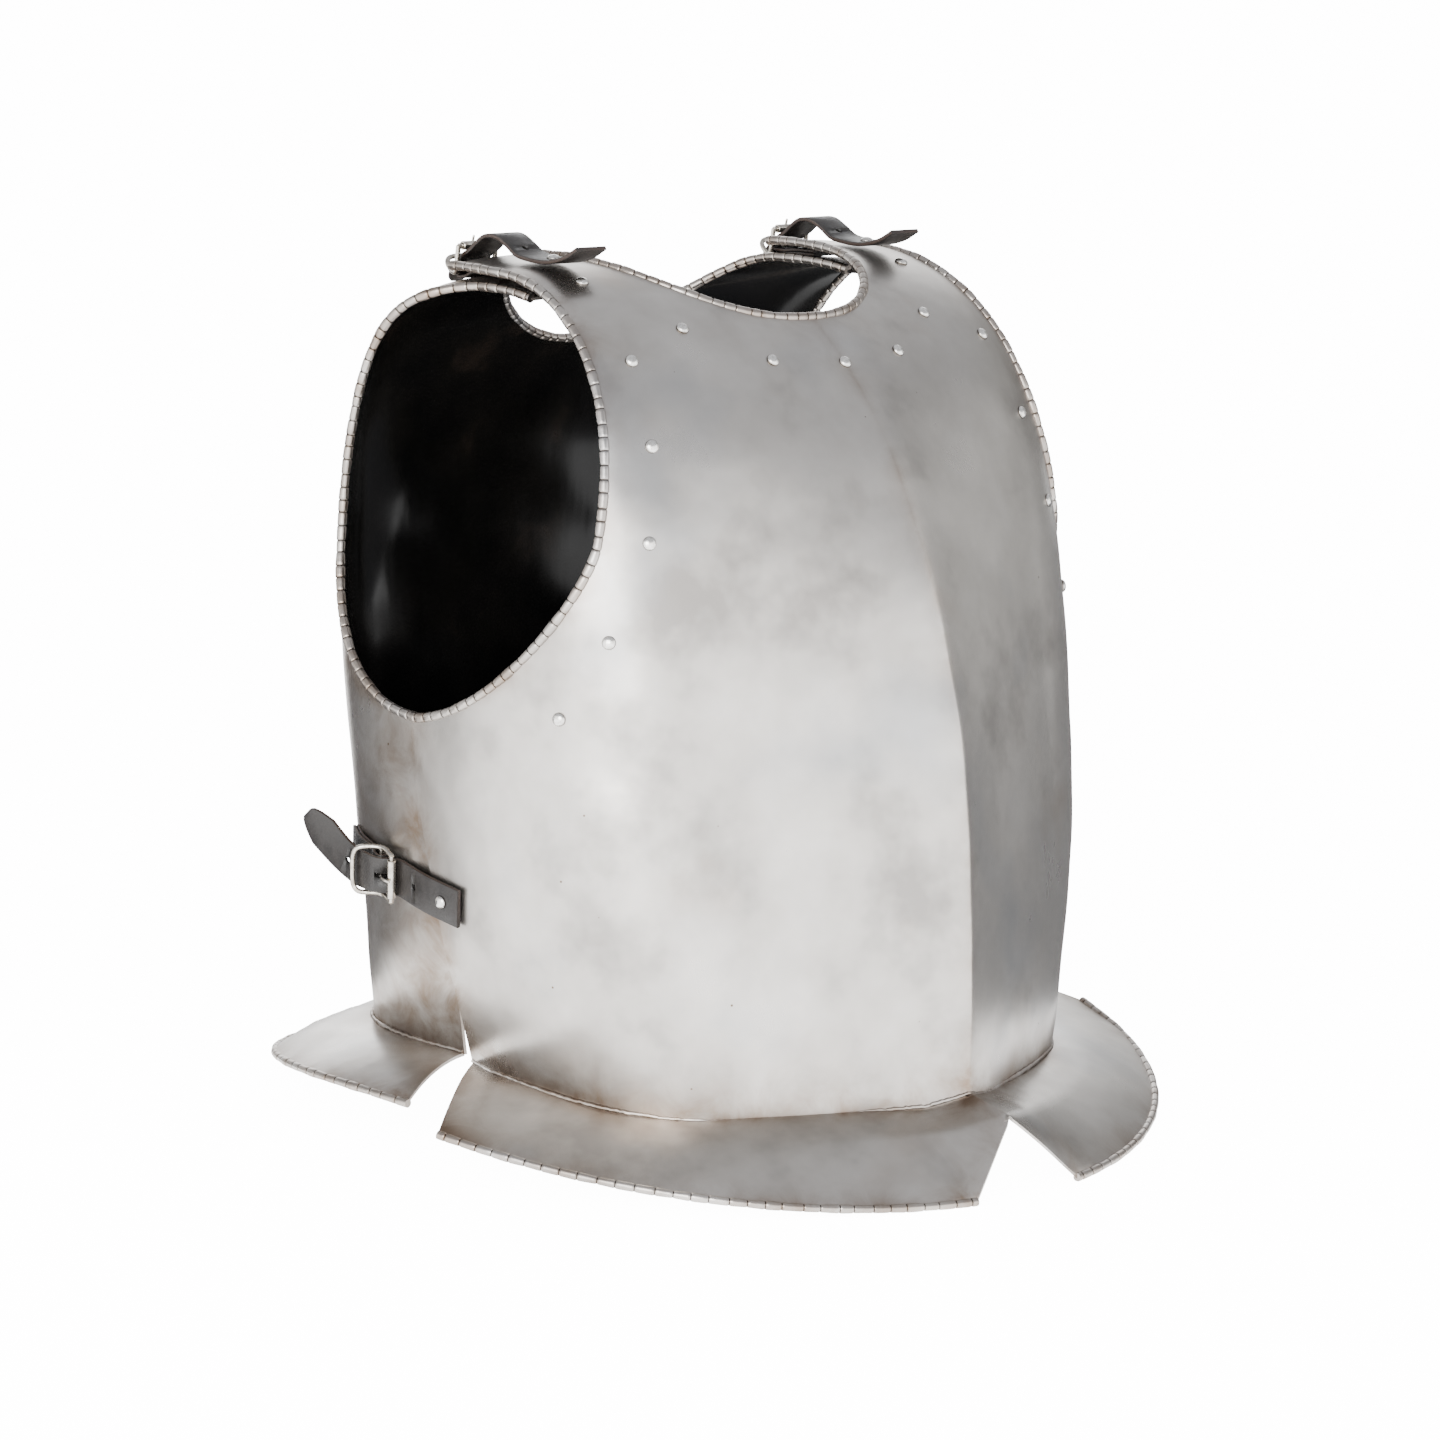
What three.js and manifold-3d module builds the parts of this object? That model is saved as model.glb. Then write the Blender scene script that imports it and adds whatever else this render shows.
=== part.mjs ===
// Steel cuirass: a breastplate with a medial ridge, its backplate, and the four buckled straps that
// join them at the shoulders and the sides. Millimetres. The pieces are built in the wearer's frame,
// +Z up, -Y forward and +X to the wearer's left, and the whole is then tilted back a little, because
// that is how it stands on the rims of its waist flanges.
import * as THREE from 'three';
import { mergeVertices } from 'three/addons/utils/BufferGeometryUtils.js';
import Module from 'manifold-3d';

const wasm = await Module();
wasm.setup();

// ---- driving dimensions -------------------------------------------------------------------------
const sheet = 1.6;              // steel thickness
const gap = 0.3;                // clearance left between touching pieces
const waistZ = 40;              // height of the waist weld at the sides
const chestZ = 200;             // height of the widest girth
const trunk = {                 // half sizes of the girth, and how it closes in towards the crown
  half: { waist: 162, chest: 185, dome: 7 },
  front: { waist: 133, chest: 149, dome: 2.8 },
  back: { waist: 163, chest: 125, dome: 2.14 },
  frontCorner: { chest: 2.9, crown: 3.9 },
  backCorner: { chest: 3.6, crown: 3.6 },
  narrowing: 1.8,
  lean: 0.15,
};
const ridge = { height: 32, spread: 110, falloff: 1.5, fade: 1.5, softLow: 3, softHigh: 40 };
const breast = { crownZ: 441, inset: 0 };
const back = { crownZ: 432.5, inset: sheet + 0.5 };
const seam = { y: -5, rake: 0.117, overlap: 4, parted: 9, closedZ: 110 };     // side edges
const armHole = {
  y: 17.5, z: 313, down: 94.5,
  front: { deep: 107.5, up: 123, upper: 2.13, lower: 1.67 },
  back: { deep: 85, up: 115, upper: 2.28, lower: 1.95 },
};
const neckHole = {
  half: 83, power: 2.2,
  front: { y: 10, deep: 80.5 },
  back: { y: 44, deep: 60 },
};
const lappet = { front: 46, back: -13, inner: 85, outer: 135 };
const rollRadius = 2.4;         // turned edge round the neck and the arms
const hemRadius = 2.1;          // turned edge of the waist flanges
const stand = { slope: 0.078, y: -233, z: -5 };          // standing plane in the wearer's frame
const wornFlat = 0.6;           // how much the rims are worn where they stand
const flange = {                // rims of the waist flanges, as seen from above
  front: { half: 238, deep: 235, y: 3, power: 2, from: 8.7, to: 75.5, slope: 0.19 },
  back: { half: 220, deep: 185, y: 10, power: 2.3, from: 0, to: 97, lift: 24, liftEnds: 165 },
  notch: { y: -217, z: 29, at: 0.4 },
  bulge: 4,
};

const steelLook = { color: 0xbdb8b2, roughness: 0.33, metalness: 1 };
const rivetLook = { color: 0xd2cec8, roughness: 0.25, metalness: 1 };
const nickelLook = { color: 0xcfc9bf, roughness: 0.22, metalness: 1 };
const leatherLook = { color: 0x191715, roughness: 0.55, metalness: 0 };

// ---- solids -------------------------------------------------------------------------------------
function toSolid(geometry) {
  const bare = geometry.index ? geometry.clone() : geometry;
  bare.deleteAttribute('normal');
  bare.deleteAttribute('uv');
  const merged = mergeVertices(bare, 1e-4);
  return new wasm.Manifold(new wasm.Mesh({
    numProp: 3,
    vertProperties: new Float32Array(merged.attributes.position.array),
    triVerts: new Uint32Array(merged.index.array),
  }));
}

function toGeometry(solid) {
  const { vertProperties, triVerts } = solid.getMesh();
  const geometry = new THREE.BufferGeometry();
  geometry.setAttribute('position', new THREE.BufferAttribute(vertProperties, 3));
  geometry.setIndex(new THREE.BufferAttribute(triVerts, 1));
  return geometry;
}

const joined = (solids) => solids.reduce((whole, next) => whole.add(next));

// A closed slab between two grids of points, the outer one seen from outside with its columns
// running to the right as its rows go up.
function slab(outer, inner) {
  const rows = outer.length, columns = outer[0].length;
  const points = [...outer.flat(), ...inner.flat()];
  const faces = [];
  const at = (r, c, layer) => layer * rows * columns + r * columns + c;
  const quad = (a, b, c, d) => {
    if (points[a].distanceTo(points[c]) < points[b].distanceTo(points[d])) faces.push(a, b, c, a, c, d);
    else faces.push(a, b, d, b, c, d);
  };
  for (let r = 0; r < rows - 1; r++) {
    for (let c = 0; c < columns - 1; c++) {
      quad(at(r, c, 0), at(r, c + 1, 0), at(r + 1, c + 1, 0), at(r + 1, c, 0));
      quad(at(r, c, 1), at(r + 1, c, 1), at(r + 1, c + 1, 1), at(r, c + 1, 1));
    }
    quad(at(r, 0, 1), at(r, 0, 0), at(r + 1, 0, 0), at(r + 1, 0, 1));
    const end = columns - 1;
    quad(at(r, end, 0), at(r, end, 1), at(r + 1, end, 1), at(r + 1, end, 0));
  }
  for (let c = 0; c < columns - 1; c++) {
    quad(at(0, c, 1), at(0, c + 1, 1), at(0, c + 1, 0), at(0, c, 0));
    const top = rows - 1;
    quad(at(top, c, 0), at(top, c + 1, 0), at(top, c + 1, 1), at(top, c, 1));
  }
  const geometry = new THREE.BufferGeometry().setFromPoints(points);
  geometry.setIndex(faces);
  return toSolid(geometry);
}

// A round rod along a smooth path through the points.
function rod(points, radius, steps, sides = 5) {
  const section = new THREE.Shape();
  for (let i = 0; i < sides; i++) {
    const angle = (2 * Math.PI * i) / sides;
    section[i ? 'lineTo' : 'moveTo'](radius * Math.cos(angle), radius * Math.sin(angle));
  }
  section.closePath();
  const path = points.length > 2 ? new THREE.CatmullRomCurve3(points, false, 'centripetal')
    : new THREE.LineCurve3(points[0], points[1]);
  return toSolid(new THREE.ExtrudeGeometry(section, { steps, bevelEnabled: false, extrudePath: path }));
}

// ---- the form of the trunk ----------------------------------------------------------------------
// A girth is named by s, which is -1 at the waist, 0 at the chest and 1 at the crown, and a point
// on it by its turn from straight ahead in degrees, positive to the wearer's left.
const mix = (a, b, t) => a + (b - a) * t;
const unit = (value) => Math.min(Math.max(value, 0), 1);

function girth(plate, s, inset) {
  const rise = Math.min(Math.max(s, 0), 0.9999);
  const fall = Math.max(-s, 0) ** trunk.narrowing;
  const size = ({ waist, chest, dome }) => s > 0
    ? (chest - inset) * (1 - rise ** dome) ** (1 / dome)
    : mix(chest, waist, fall) - inset;
  const z = chestZ + s * (s > 0 ? plate.crownZ - (inset - plate.inset) - chestZ : chestZ - waistZ);
  return {
    z,
    half: size(trunk.half),
    front: size(trunk.front),
    back: size(trunk.back),
    frontCorner: mix(trunk.frontCorner.chest, trunk.frontCorner.crown, rise),
    backCorner: mix(trunk.backCorner.chest, trunk.backCorner.crown, rise),
    ridge: ridge.height * (1 - rise ** ridge.fade),
    soft: mix(ridge.softLow, ridge.softHigh, rise ** 2),
    shift: trunk.lean * (z - chestZ),
  };
}

function ridgeAt(g, x) {
  const away = Math.hypot(x, g.soft) - g.soft;
  return g.ridge * Math.max(0, 1 - away / ridge.spread) ** ridge.falloff;
}

function onForm(plate, turn, s, inset = plate.inset) {
  const g = girth(plate, s, inset);
  const side = Math.sin(THREE.MathUtils.degToRad(turn));
  const ahead = Math.cos(THREE.MathUtils.degToRad(turn));
  const corner = ahead > 0 ? g.frontCorner : g.backCorner;
  const spread = (Math.abs(side) ** corner + Math.abs(ahead) ** corner) ** (1 / corner);
  const x = (g.half * side) / spread;
  const y = ahead > 0 ? (-g.front * ahead) / spread - ridgeAt(g, x) : (-g.back * ahead) / spread;
  return new THREE.Vector3(x, y + g.shift, g.z);
}

function outward(plate, turn, s) {
  const across = onForm(plate, turn + 0.5, s).sub(onForm(plate, turn - 0.5, s));
  const up = onForm(plate, turn, s + 0.002).sub(onForm(plate, turn, s - 0.002));
  return across.cross(up).normalize();
}

const heightToS = (plate, z) => z > chestZ
  ? (z - chestZ) / (plate.crownZ - chestZ)
  : (z - chestZ) / (chestZ - waistZ);

// A place on the form, from its depth and height as seen from the side.
function fromSide(plate, y, z) {
  const s = heightToS(plate, z);
  const g = girth(plate, s, plate.inset);
  const away = y - g.shift;
  const deep = unit(Math.abs(away) / (away < 0 ? g.front : g.back));
  const corner = away < 0 ? g.frontCorner : g.backCorner;
  const wide = (1 - deep ** corner) ** (1 / corner);
  const turn = THREE.MathUtils.radToDeg(Math.atan2(wide, deep));
  return { turn: away < 0 ? turn : 180 - turn, s };
}

// A place on the form, from its position as seen from above.
function fromAbove(plate, x, y) {
  const shares = (s) => {
    const g = girth(plate, s, plate.inset);
    const away = y - g.shift;
    const ahead = away < 0;
    const deep = ahead ? Math.max(0, -away - ridgeAt(g, x)) / g.front : away / g.back;
    return { wide: x / g.half, deep, ahead, corner: ahead ? g.frontCorner : g.backCorner };
  };
  let low = 0, high = 0.9999;
  for (let i = 0; i < 40; i++) {
    const middle = (low + high) / 2;
    const { wide, deep, corner } = shares(middle);
    if (wide ** corner + deep ** corner < 1) low = middle;
    else high = middle;
  }
  const { wide, deep, ahead } = shares(low);
  const turn = THREE.MathUtils.radToDeg(Math.atan2(wide, deep));
  return { turn: ahead ? turn : 180 - turn, s: low };
}

// ---- the two shells -----------------------------------------------------------------------------
const steps = (count, from = 0, to = 1) =>
  Array.from({ length: count + 1 }, (_, i) => mix(from, to, i / count));
const mirrored = (point) => new THREE.Vector3(-point.x, point.y, point.z);

// The waist weld dips from the sides to the front and rises a little at the ridge.
const waistDip = { side: 41.5, front: 31, ridge: 5, ridgeTurn: 8, back: 48 };
function waistHeight(turn) {
  if (Math.abs(turn) > 95) return waistDip.back;
  const ahead = Math.cos(THREE.MathUtils.degToRad(Math.min(Math.abs(turn), 90)));
  return mix(waistDip.side, waistDip.front, Math.min(1, 1.4 * ahead))
    + waistDip.ridge * Math.max(0, 1 - Math.abs(turn) / waistDip.ridgeTurn);
}

// An arm opening's edge as seen from the side, at an angle from -90 at its foot to 90 at its top.
function armEdge(curve, forward, angle) {
  const up = Math.sin(THREE.MathUtils.degToRad(angle));
  const out = Math.cos(THREE.MathUtils.degToRad(angle));
  const power = up > 0 ? curve.upper : curve.lower;
  const reach = up > 0 ? curve.up : -armHole.down;
  return {
    y: armHole.y + forward * curve.deep * out ** (2 / power),
    z: armHole.z + reach * Math.abs(up) ** (2 / power),
  };
}

// The neck opening's edge as seen from above, at an angle from 0 in the middle to 90 at the side.
function neckEdge(curve, forward, angle) {
  const side = Math.sin(THREE.MathUtils.degToRad(angle)) ** (2 / neckHole.power);
  const ahead = Math.cos(THREE.MathUtils.degToRad(angle)) ** (2 / neckHole.power);
  return { x: neckHole.half * side, y: curve.y + forward * curve.deep * ahead };
}

// The breastplate's side edge lies over the backplate's, and the two part towards the waist.
const sideEdge = {
  front: (z) => seam.y + seam.rake * (z - waistZ),
  back: (z) => sideEdge.front(z)
    + mix(seam.parted, -seam.overlap, unit((z - waistZ) / (seam.closedZ - waistZ))),
};
const shells = {
  front: { plate: breast, forward: -1, middle: 0, tip: lappet.front },
  back: { plate: back, forward: 1, middle: 180, tip: lappet.back },
};
const rows = { belowArm: 5, besideArm: 5, ofNeck: 4, ofTip: 2 };
const columns = 8;
const armShoulder = 30;         // angle on the arm edge that is level with the middle of the neck edge

// The inner and outer borders of one half of a shell, row by row from the waist to the lappet tip.
function borders(part) {
  const { plate, forward, middle, tip } = shells[part];
  const foot = armHole.z - armHole.down;
  const sideTurn = fromSide(plate, sideEdge[part](waistZ), waistZ).turn;
  const waistS = heightToS(plate, waistHeight(middle));
  const footS = heightToS(plate, foot);
  const neckMiddle = fromAbove(plate, 0, neckEdge(neckHole[part], forward, 0).y);
  const inner = [], outer = [];
  for (const v of steps(rows.belowArm)) {
    const z = mix(waistHeight(sideTurn), foot, v);
    inner.push({ turn: middle, s: mix(waistS, footS, v) });
    outer.push(fromSide(plate, mix(sideEdge[part](z), armHole.y, v ** 4), z));
  }
  for (const v of steps(rows.besideArm).slice(1)) {
    const edge = armEdge(armHole[part], forward, mix(-90, armShoulder, v));
    inner.push({ turn: middle, s: mix(footS, neckMiddle.s, v) });
    outer.push(fromSide(plate, edge.y, edge.z));
  }
  for (const v of steps(rows.ofNeck).slice(1)) {
    const neck = neckEdge(neckHole[part], forward, 90 * v);
    const edge = armEdge(armHole[part], forward, mix(armShoulder, 88, v));
    inner.push(fromAbove(plate, neck.x, neck.y));
    outer.push(fromSide(plate, edge.y, edge.z));
  }
  const neckTop = neckEdge(neckHole[part], forward, 90);
  const armTop = armEdge(armHole[part], forward, 88);
  const armTopX = onForm(plate, outer.at(-1).turn, outer.at(-1).s).x;
  for (const v of steps(rows.ofTip).slice(1)) {
    inner.push(fromAbove(plate, mix(neckTop.x, lappet.inner, v), mix(neckTop.y, tip, v)));
    outer.push(fromAbove(plate, mix(armTopX, lappet.outer, v), mix(armTop.y, tip, v)));
  }
  return { inner, outer };
}

function halfShell(part, side) {
  const { plate, forward } = shells[part];
  const { inner, outer } = borders(part);
  const grid = (inset) => inner.map((start, row) => {
    const low = Math.max(0, 1 - row / rows.belowArm);
    const line = steps(columns).map((u) => {
      const turn = mix(start.turn, outer[row].turn, u);
      const level = mix(start.s, outer[row].s, u);
      const waist = mix(inner[0].s, outer[0].s, u);
      const dip = heightToS(plate, waistHeight(turn)) - waist;
      return onForm(plate, side * turn, level + low * dip, inset);
    });
    return side === -forward ? line : line.reverse();
  });
  const outerSkin = grid(plate.inset), innerSkin = grid(plate.inset + sheet);
  for (const skin of [outerSkin, innerSkin]) {
    for (const line of skin.slice(0, rows.belowArm + rows.besideArm + 1)) {
      line[side === -forward ? 0 : columns].x = 0;
    }
  }
  return slab(outerSkin, innerSkin);
}

const onEdge = (plate, { turn, s }) => onForm(plate, turn, s, plate.inset + 0.3);

function neckRoll(part) {
  const { plate } = shells[part];
  const edge = borders(part).inner.slice(rows.belowArm + rows.besideArm)
    .map((place) => onEdge(plate, place));
  edge[0].x = 0;
  const across = [...edge.slice(1).reverse(), edge[0], ...edge.slice(1).map(mirrored)];
  return rod(across, rollRadius, 18);
}

function armRolls(part, radius = rollRadius) {
  const { plate } = shells[part];
  const edge = borders(part).outer.slice(rows.belowArm).map((place) => onEdge(plate, place));
  return [rod(edge, radius, 14), rod(edge.map(mirrored), radius, 14)];
}

// ---- waist flanges ------------------------------------------------------------------------------
const standZ = (y) => stand.z + stand.slope * (y - stand.y);

function rimPoint(part, angle) {
  const rim = flange[part];
  const side = Math.sin(THREE.MathUtils.degToRad(angle)) ** (2 / rim.power);
  const ahead = Math.cos(THREE.MathUtils.degToRad(angle));
  const reach = Math.sign(ahead) * Math.abs(ahead) ** (2 / rim.power);
  if (part === 'front') {
    const y = rim.y - rim.deep * reach;
    return new THREE.Vector3(rim.half * side, y, stand.z + rim.slope * (y - stand.y));
  }
  const y = rim.y + rim.deep * reach;
  const away = (y + rim.y * 2) / (rim.liftEnds + rim.y * 2);
  return new THREE.Vector3(rim.half * side, y, standZ(y) + rim.lift * Math.max(0, 1 - away ** 2));
}

function flangePanel(part, side) {
  const { plate, forward, middle } = shells[part];
  const rim = flange[part];
  const sideTurn = fromSide(plate, sideEdge[part](waistZ), waistZ).turn;
  const notch = new THREE.Vector3(0, flange.notch.y, flange.notch.z);
  const at = (u, v) => {
    const turn = mix(middle, sideTurn, u);
    const weld = onForm(plate, turn, heightToS(plate, waistHeight(turn)), plate.inset + sheet / 2);
    const edge = rimPoint(part, mix(rim.from, rim.to, u));
    const point = weld.clone().lerp(edge, v);
    point.z += flange.bulge * 4 * v * (1 - v);
    if (part === 'front') {
      const weldMiddle = onForm(plate, 0, heightToS(plate, waistHeight(0)), sheet / 2);
      const corner = rimPoint(part, rim.from);
      const cut = v < flange.notch.at
        ? weldMiddle.clone().lerp(notch, v / flange.notch.at)
        : notch.clone().lerp(corner, (v - flange.notch.at) / (1 - flange.notch.at));
      const plain = weldMiddle.clone().lerp(corner, v);
      plain.z += flange.bulge * 4 * v * (1 - v);
      point.add(cut.sub(plain).multiplyScalar((1 - u) ** 6));
    }
    if (u === 0 && (part === 'back' || v <= flange.notch.at)) point.x = 0;
    return new THREE.Vector3(side * point.x, point.y, point.z);
  };
  const grid = (drop) => steps(3, 1, 0).map((v) => {
    const line = steps(columns).map((u) => at(u, v).add(new THREE.Vector3(0, 0, drop)));
    return side === -forward ? line : line.reverse();
  });
  return slab(grid(sheet / 2), grid(-sheet / 2));
}

function hems(part) {
  const rim = flange[part];
  const edge = steps(10, rim.from, rim.to).map((angle) => rimPoint(part, angle));
  if (part === 'front') return [rod(edge, hemRadius, 10), rod(edge.map(mirrored), hemRadius, 10)];
  return [rod([...edge.slice(1).reverse(), edge[0], ...edge.slice(1).map(mirrored)], hemRadius, 20)];
}

// ---- rivets -------------------------------------------------------------------------------------
const rivet = { shank: 1.5, head: 3.2, dome: 1.8, burr: 2.1, burrHeight: 0.8 };

// A domed rivet along +Z: its head sits on z = 0 and its burr holds the far side, grip lower.
function rivetGeometry(grip) {
  const { shank, head, dome, burr, burrHeight } = rivet;
  const outline = [[0, -grip - burrHeight], [burr, -grip], [shank, -grip], [shank, 0], [head, 0],
    [head * 0.75, dome * 0.65], [0, dome]];
  return new THREE.LatheGeometry(outline.map(([r, z]) => new THREE.Vector2(r, z)), 6)
    .rotateX(Math.PI / 2);
}

const upright = new THREE.Vector3(0, 0, 1);
function facing(direction, point) {
  const turned = new THREE.Quaternion().setFromUnitVectors(upright, direction);
  return new THREE.Matrix4().compose(point, turned, new THREE.Vector3(1, 1, 1));
}
const hole = (matrix, radius, length = 24) =>
  toSolid(new THREE.CylinderGeometry(radius, radius, length, 6).rotateX(Math.PI / 2)
    .applyMatrix4(matrix));

// Where a rivet sits on a finished shell: found by looking at the shell from outside the form.
const clear = { head: 0.5, burr: 2.3 };
function seat(shellMesh, plate, turn, s) {
  const direction = outward(plate, turn, s);
  const from = onForm(plate, turn, s).addScaledVector(direction, 20);
  const hits = new THREE.Raycaster(from, direction.clone().negate(), 0, 40)
    .intersectObject(shellMesh);
  const first = hits[0].point, last = hits.at(-1).point;
  const normal = turn === 0 ? direction : hits[0].face.normal;
  return {
    place: facing(normal, first.clone().addScaledVector(normal, clear.head)),
    grip: first.distanceTo(last) + clear.head + clear.burr,
  };
}

const liningRivets = [
  { across: 0, height: 391 },
  { across: 44, height: 394, pair: true },
  { across: 85, height: 410, pair: true },
  { across: 112, height: 432, pair: true },
  { across: 123, height: 397, pair: true },
  { across: 130, height: 358, pair: true },
  { across: 141, height: 313, pair: true },
  { across: 160, height: 266, pair: true },
  { across: 174, height: 228, pair: true },
];

// The turn at which the front of the form is this far from the middle.
function turnAcross(plate, across, s) {
  let low = 0, high = 90;
  for (let i = 0; i < 30; i++) {
    const middle = (low + high) / 2;
    if (onForm(plate, middle, s).x < across) low = middle;
    else high = middle;
  }
  return low;
}

// ---- a whole shell, worn flat where it stands ---------------------------------------------------
const tilt = Math.atan(stand.slope);
const floorBlock = toSolid(new THREE.BoxGeometry(700, 700, 60).translate(0, 0, -30).rotateX(tilt)
  .translate(0, 0, standZ(0) - hemRadius + wornFlat));

function shell(part) {
  const parts = [halfShell(part, 1), halfShell(part, -1), neckRoll(part), ...armRolls(part),
    flangePanel(part, 1), flangePanel(part, -1), ...hems(part)];
  return joined(parts).subtract(floorBlock);
}
const cut = (solid, tools) => tools.reduce((rest, tool) => rest.subtract(tool), solid);

function liningSeats(shellMesh) {
  return liningRivets.flatMap(({ across, height, pair }) => {
    const s = heightToS(breast, height);
    const turn = turnAcross(breast, across, s);
    return (pair ? [turn, -turn] : [0]).map((angle) => seat(shellMesh, breast, angle, s));
  });
}

// ---- buckled straps -----------------------------------------------------------------------------
// Each strap has a frame of its own: +X along it from the billet's rivet towards the buckle, +Z out
// from the plate and +Y across. Places in it are [along, out], or [along, out, across].
const leather = { width: 20, thick: 2.2, chapeWidth: 19, chape: 3.6 };
const wire = { side: 12.4, radius: 1.3, endBar: 1.2, rollerIn: 1.5, rollerOut: 2.2, rollerHalf: 10.2,
  prong: 0.9 };

const fittings = {
  shoulder: {
    billet: [[-27, 9.5], [-18, 4.9], [-8, 2.4], [0, 1.9], [10, 2.8], [18, 4.4], [25, 8.6], [33, 12.3],
      [41, 12.2], [47, 8.8], [52, 5], [57, 2.2], [61, -1], [65, -4.4], [69, -7.2], [74, -11.6]],
    holes: [22, 36],
    roller: [57, 6.7], bar: [60, -6.6], bow: [69, 0.6], bowFoot: [66, -2.6],
    prong: [[62.6, -6.6], [62.9, -3], [61.9, 2], [60.8, 7], [59.6, 11.5]],
    prongAt: 61.9,
    chape: [[30, -4.6], [44, -4.6], [50, -5.2], [57, -6.6]],
    chapeRivet: 38,
  },
  side: {
    billet: [[-12, 1.9], [0, 1.9], [10, 1.8], [22, 0.6], [31, -1], [36, -1.3], [40.4, 0.2], [44, 3.8],
      [48, 5.3], [53, 5.5], [60, 5.4], [70, 5.8, 3], [80, 7, 9], [93, 10, 20]],
    holes: [22, 66],
    roller: [37, 3], bar: [48.5, -0.3], bow: [59.5, 9.2], bowFoot: [57, 7.4],
    prong: [[45.9, -0.3], [45.2, 1.6], [43.4, 4], [40, 6.2], [34.6, 6.3]],
    prongAt: 43.8,
    chape: [[51, -0.6], [56, -3], [62, -4.8], [73, -8.2], [84, -14.4]],
    chapeRivet: 72,
  },
};

const at3 = ([along, out, across = 0]) => new THREE.Vector3(along, across, out);

// A flat strap along a path, its width kept across the path.
function ribbon(path, width, thick) {
  const curve = new THREE.CatmullRomCurve3(path.map(at3), false, 'centripetal');
  const count = path.length;
  const grid = (lift) => steps(count).map((v) => {
    const along = curve.getTangentAt(v);
    const across = new THREE.Vector3(0, 1, 0).projectOnPlane(along).normalize();
    const out = along.clone().cross(across);
    const middle = curve.getPointAt(v).addScaledVector(out, lift);
    return [-width / 2, width / 2].map((y) => middle.clone().addScaledVector(across, y));
  });
  return slab(grid(-thick / 2), grid(thick / 2));
}

function strapNormal(path, alongPlace) {
  const i = Math.max(1, path.findIndex(([along]) => along > alongPlace));
  const [a, b] = [path[i - 1], path[i]];
  const share = (alongPlace - a[0]) / (b[0] - a[0]);
  const normal = new THREE.Vector3(-(b[1] - a[1]), 0, b[0] - a[0]).normalize();
  return facing(normal, at3([alongPlace, mix(a[1], b[1], share), mix(a[2] ?? 0, b[2] ?? 0, share)]));
}

function buckleFrame({ roller, bar, bow, bowFoot }) {
  const half = [[...roller, wire.side], [...bar, wire.side], [...bowFoot, wire.side - 0.6],
    [mix(bowFoot[0], bow[0], 0.75), mix(bowFoot[1], bow[1], 0.75), wire.side * 0.72]];
  const path = [...half, [...bow, 0], ...half.map(([x, z, y]) => [x, z, -y]).reverse()].map(at3);
  const cross = ([x, z]) => [at3([x, z, -wire.side]), at3([x, z, wire.side])];
  return joined([rod(path, wire.radius, 14), rod(cross(bar), wire.radius, 1),
    rod(cross(roller), wire.endBar, 1)]);
}

function rollerTube([along, out]) {
  const outline = [[wire.rollerIn, -1], [wire.rollerOut, -1], [wire.rollerOut, 1], [wire.rollerIn, 1],
    [wire.rollerIn, -1]];
  return new THREE.LatheGeometry(
    outline.map(([r, y]) => new THREE.Vector2(r, y * wire.rollerHalf)), 8).translate(along, 0, out);
}

// The prong: an eye round the centre bar and a tapering finger that rests on the roller.
function prongSolid({ bar, prong }) {
  const eye = wire.radius + gap + wire.prong;
  const start = Math.atan2(prong[0][1] - bar[1], prong[0][0] - bar[0]);
  const turnWay = start < -1 ? -1 : 1;
  const loop = steps(6, 4.6, 0).map((back) => {
    const angle = start - turnWay * back;
    return [bar[0] + eye * Math.cos(angle), bar[1] + eye * Math.sin(angle)];
  });
  return rod([...loop.slice(0, -1), ...prong].map(at3), wire.prong, 12, 4);
}

// The chape: leather folded round the centre bar, its two layers lying together under the rivet.
function chapeSolid({ bar, chape }) {
  const layers = ribbon(chape, leather.chapeWidth, leather.chape);
  const eye = wire.radius + gap;
  const loop = new THREE.CylinderGeometry(eye + 1.7, eye + 1.7, leather.chapeWidth, 10);
  const inside = new THREE.CylinderGeometry(eye, eye, leather.chapeWidth * 2, 8);
  const slot = new THREE.BoxGeometry(12, 3, 12);
  const middle = [bar[0], 0, bar[1]];
  return cut(layers.add(toSolid(loop.translate(...middle))),
    [toSolid(inside.translate(...middle)), toSolid(slot.translate(...middle))]);
}

// ---- where the straps sit -----------------------------------------------------------------------
const sites = [
  { kind: 'shoulder', hand: 'right', side: -1 },
  { kind: 'shoulder', hand: 'left', side: 1 },
  { kind: 'side', hand: 'right', side: -1 },
  { kind: 'side', hand: 'left', side: 1 },
];
const strapPlaces = {
  shoulder: { at: [110, -2, 438.4], out: [0, 0, 1], along: [0, 1, 0] },
  side: { at: [180.4, -3, 129], out: [0.99, 0, -0.134], along: [0, 0.985, 0.174] },
};

function strapFrame({ kind, side }) {
  const { at, out, along } = strapPlaces[kind];
  const outward = new THREE.Vector3(side * out[0], out[1], out[2]).normalize();
  const ahead = new THREE.Vector3(...along).projectOnPlane(outward).normalize();
  return new THREE.Matrix4().makeBasis(ahead, outward.clone().cross(ahead), outward)
    .setPosition(side * at[0], at[1], at[2]);
}

// The strap lists give places across as upwards, which is a different way across on each side.
const turnedUp = (path, side) => path.map(([along, out, up = 0]) => [along, out, side * up]);

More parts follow.
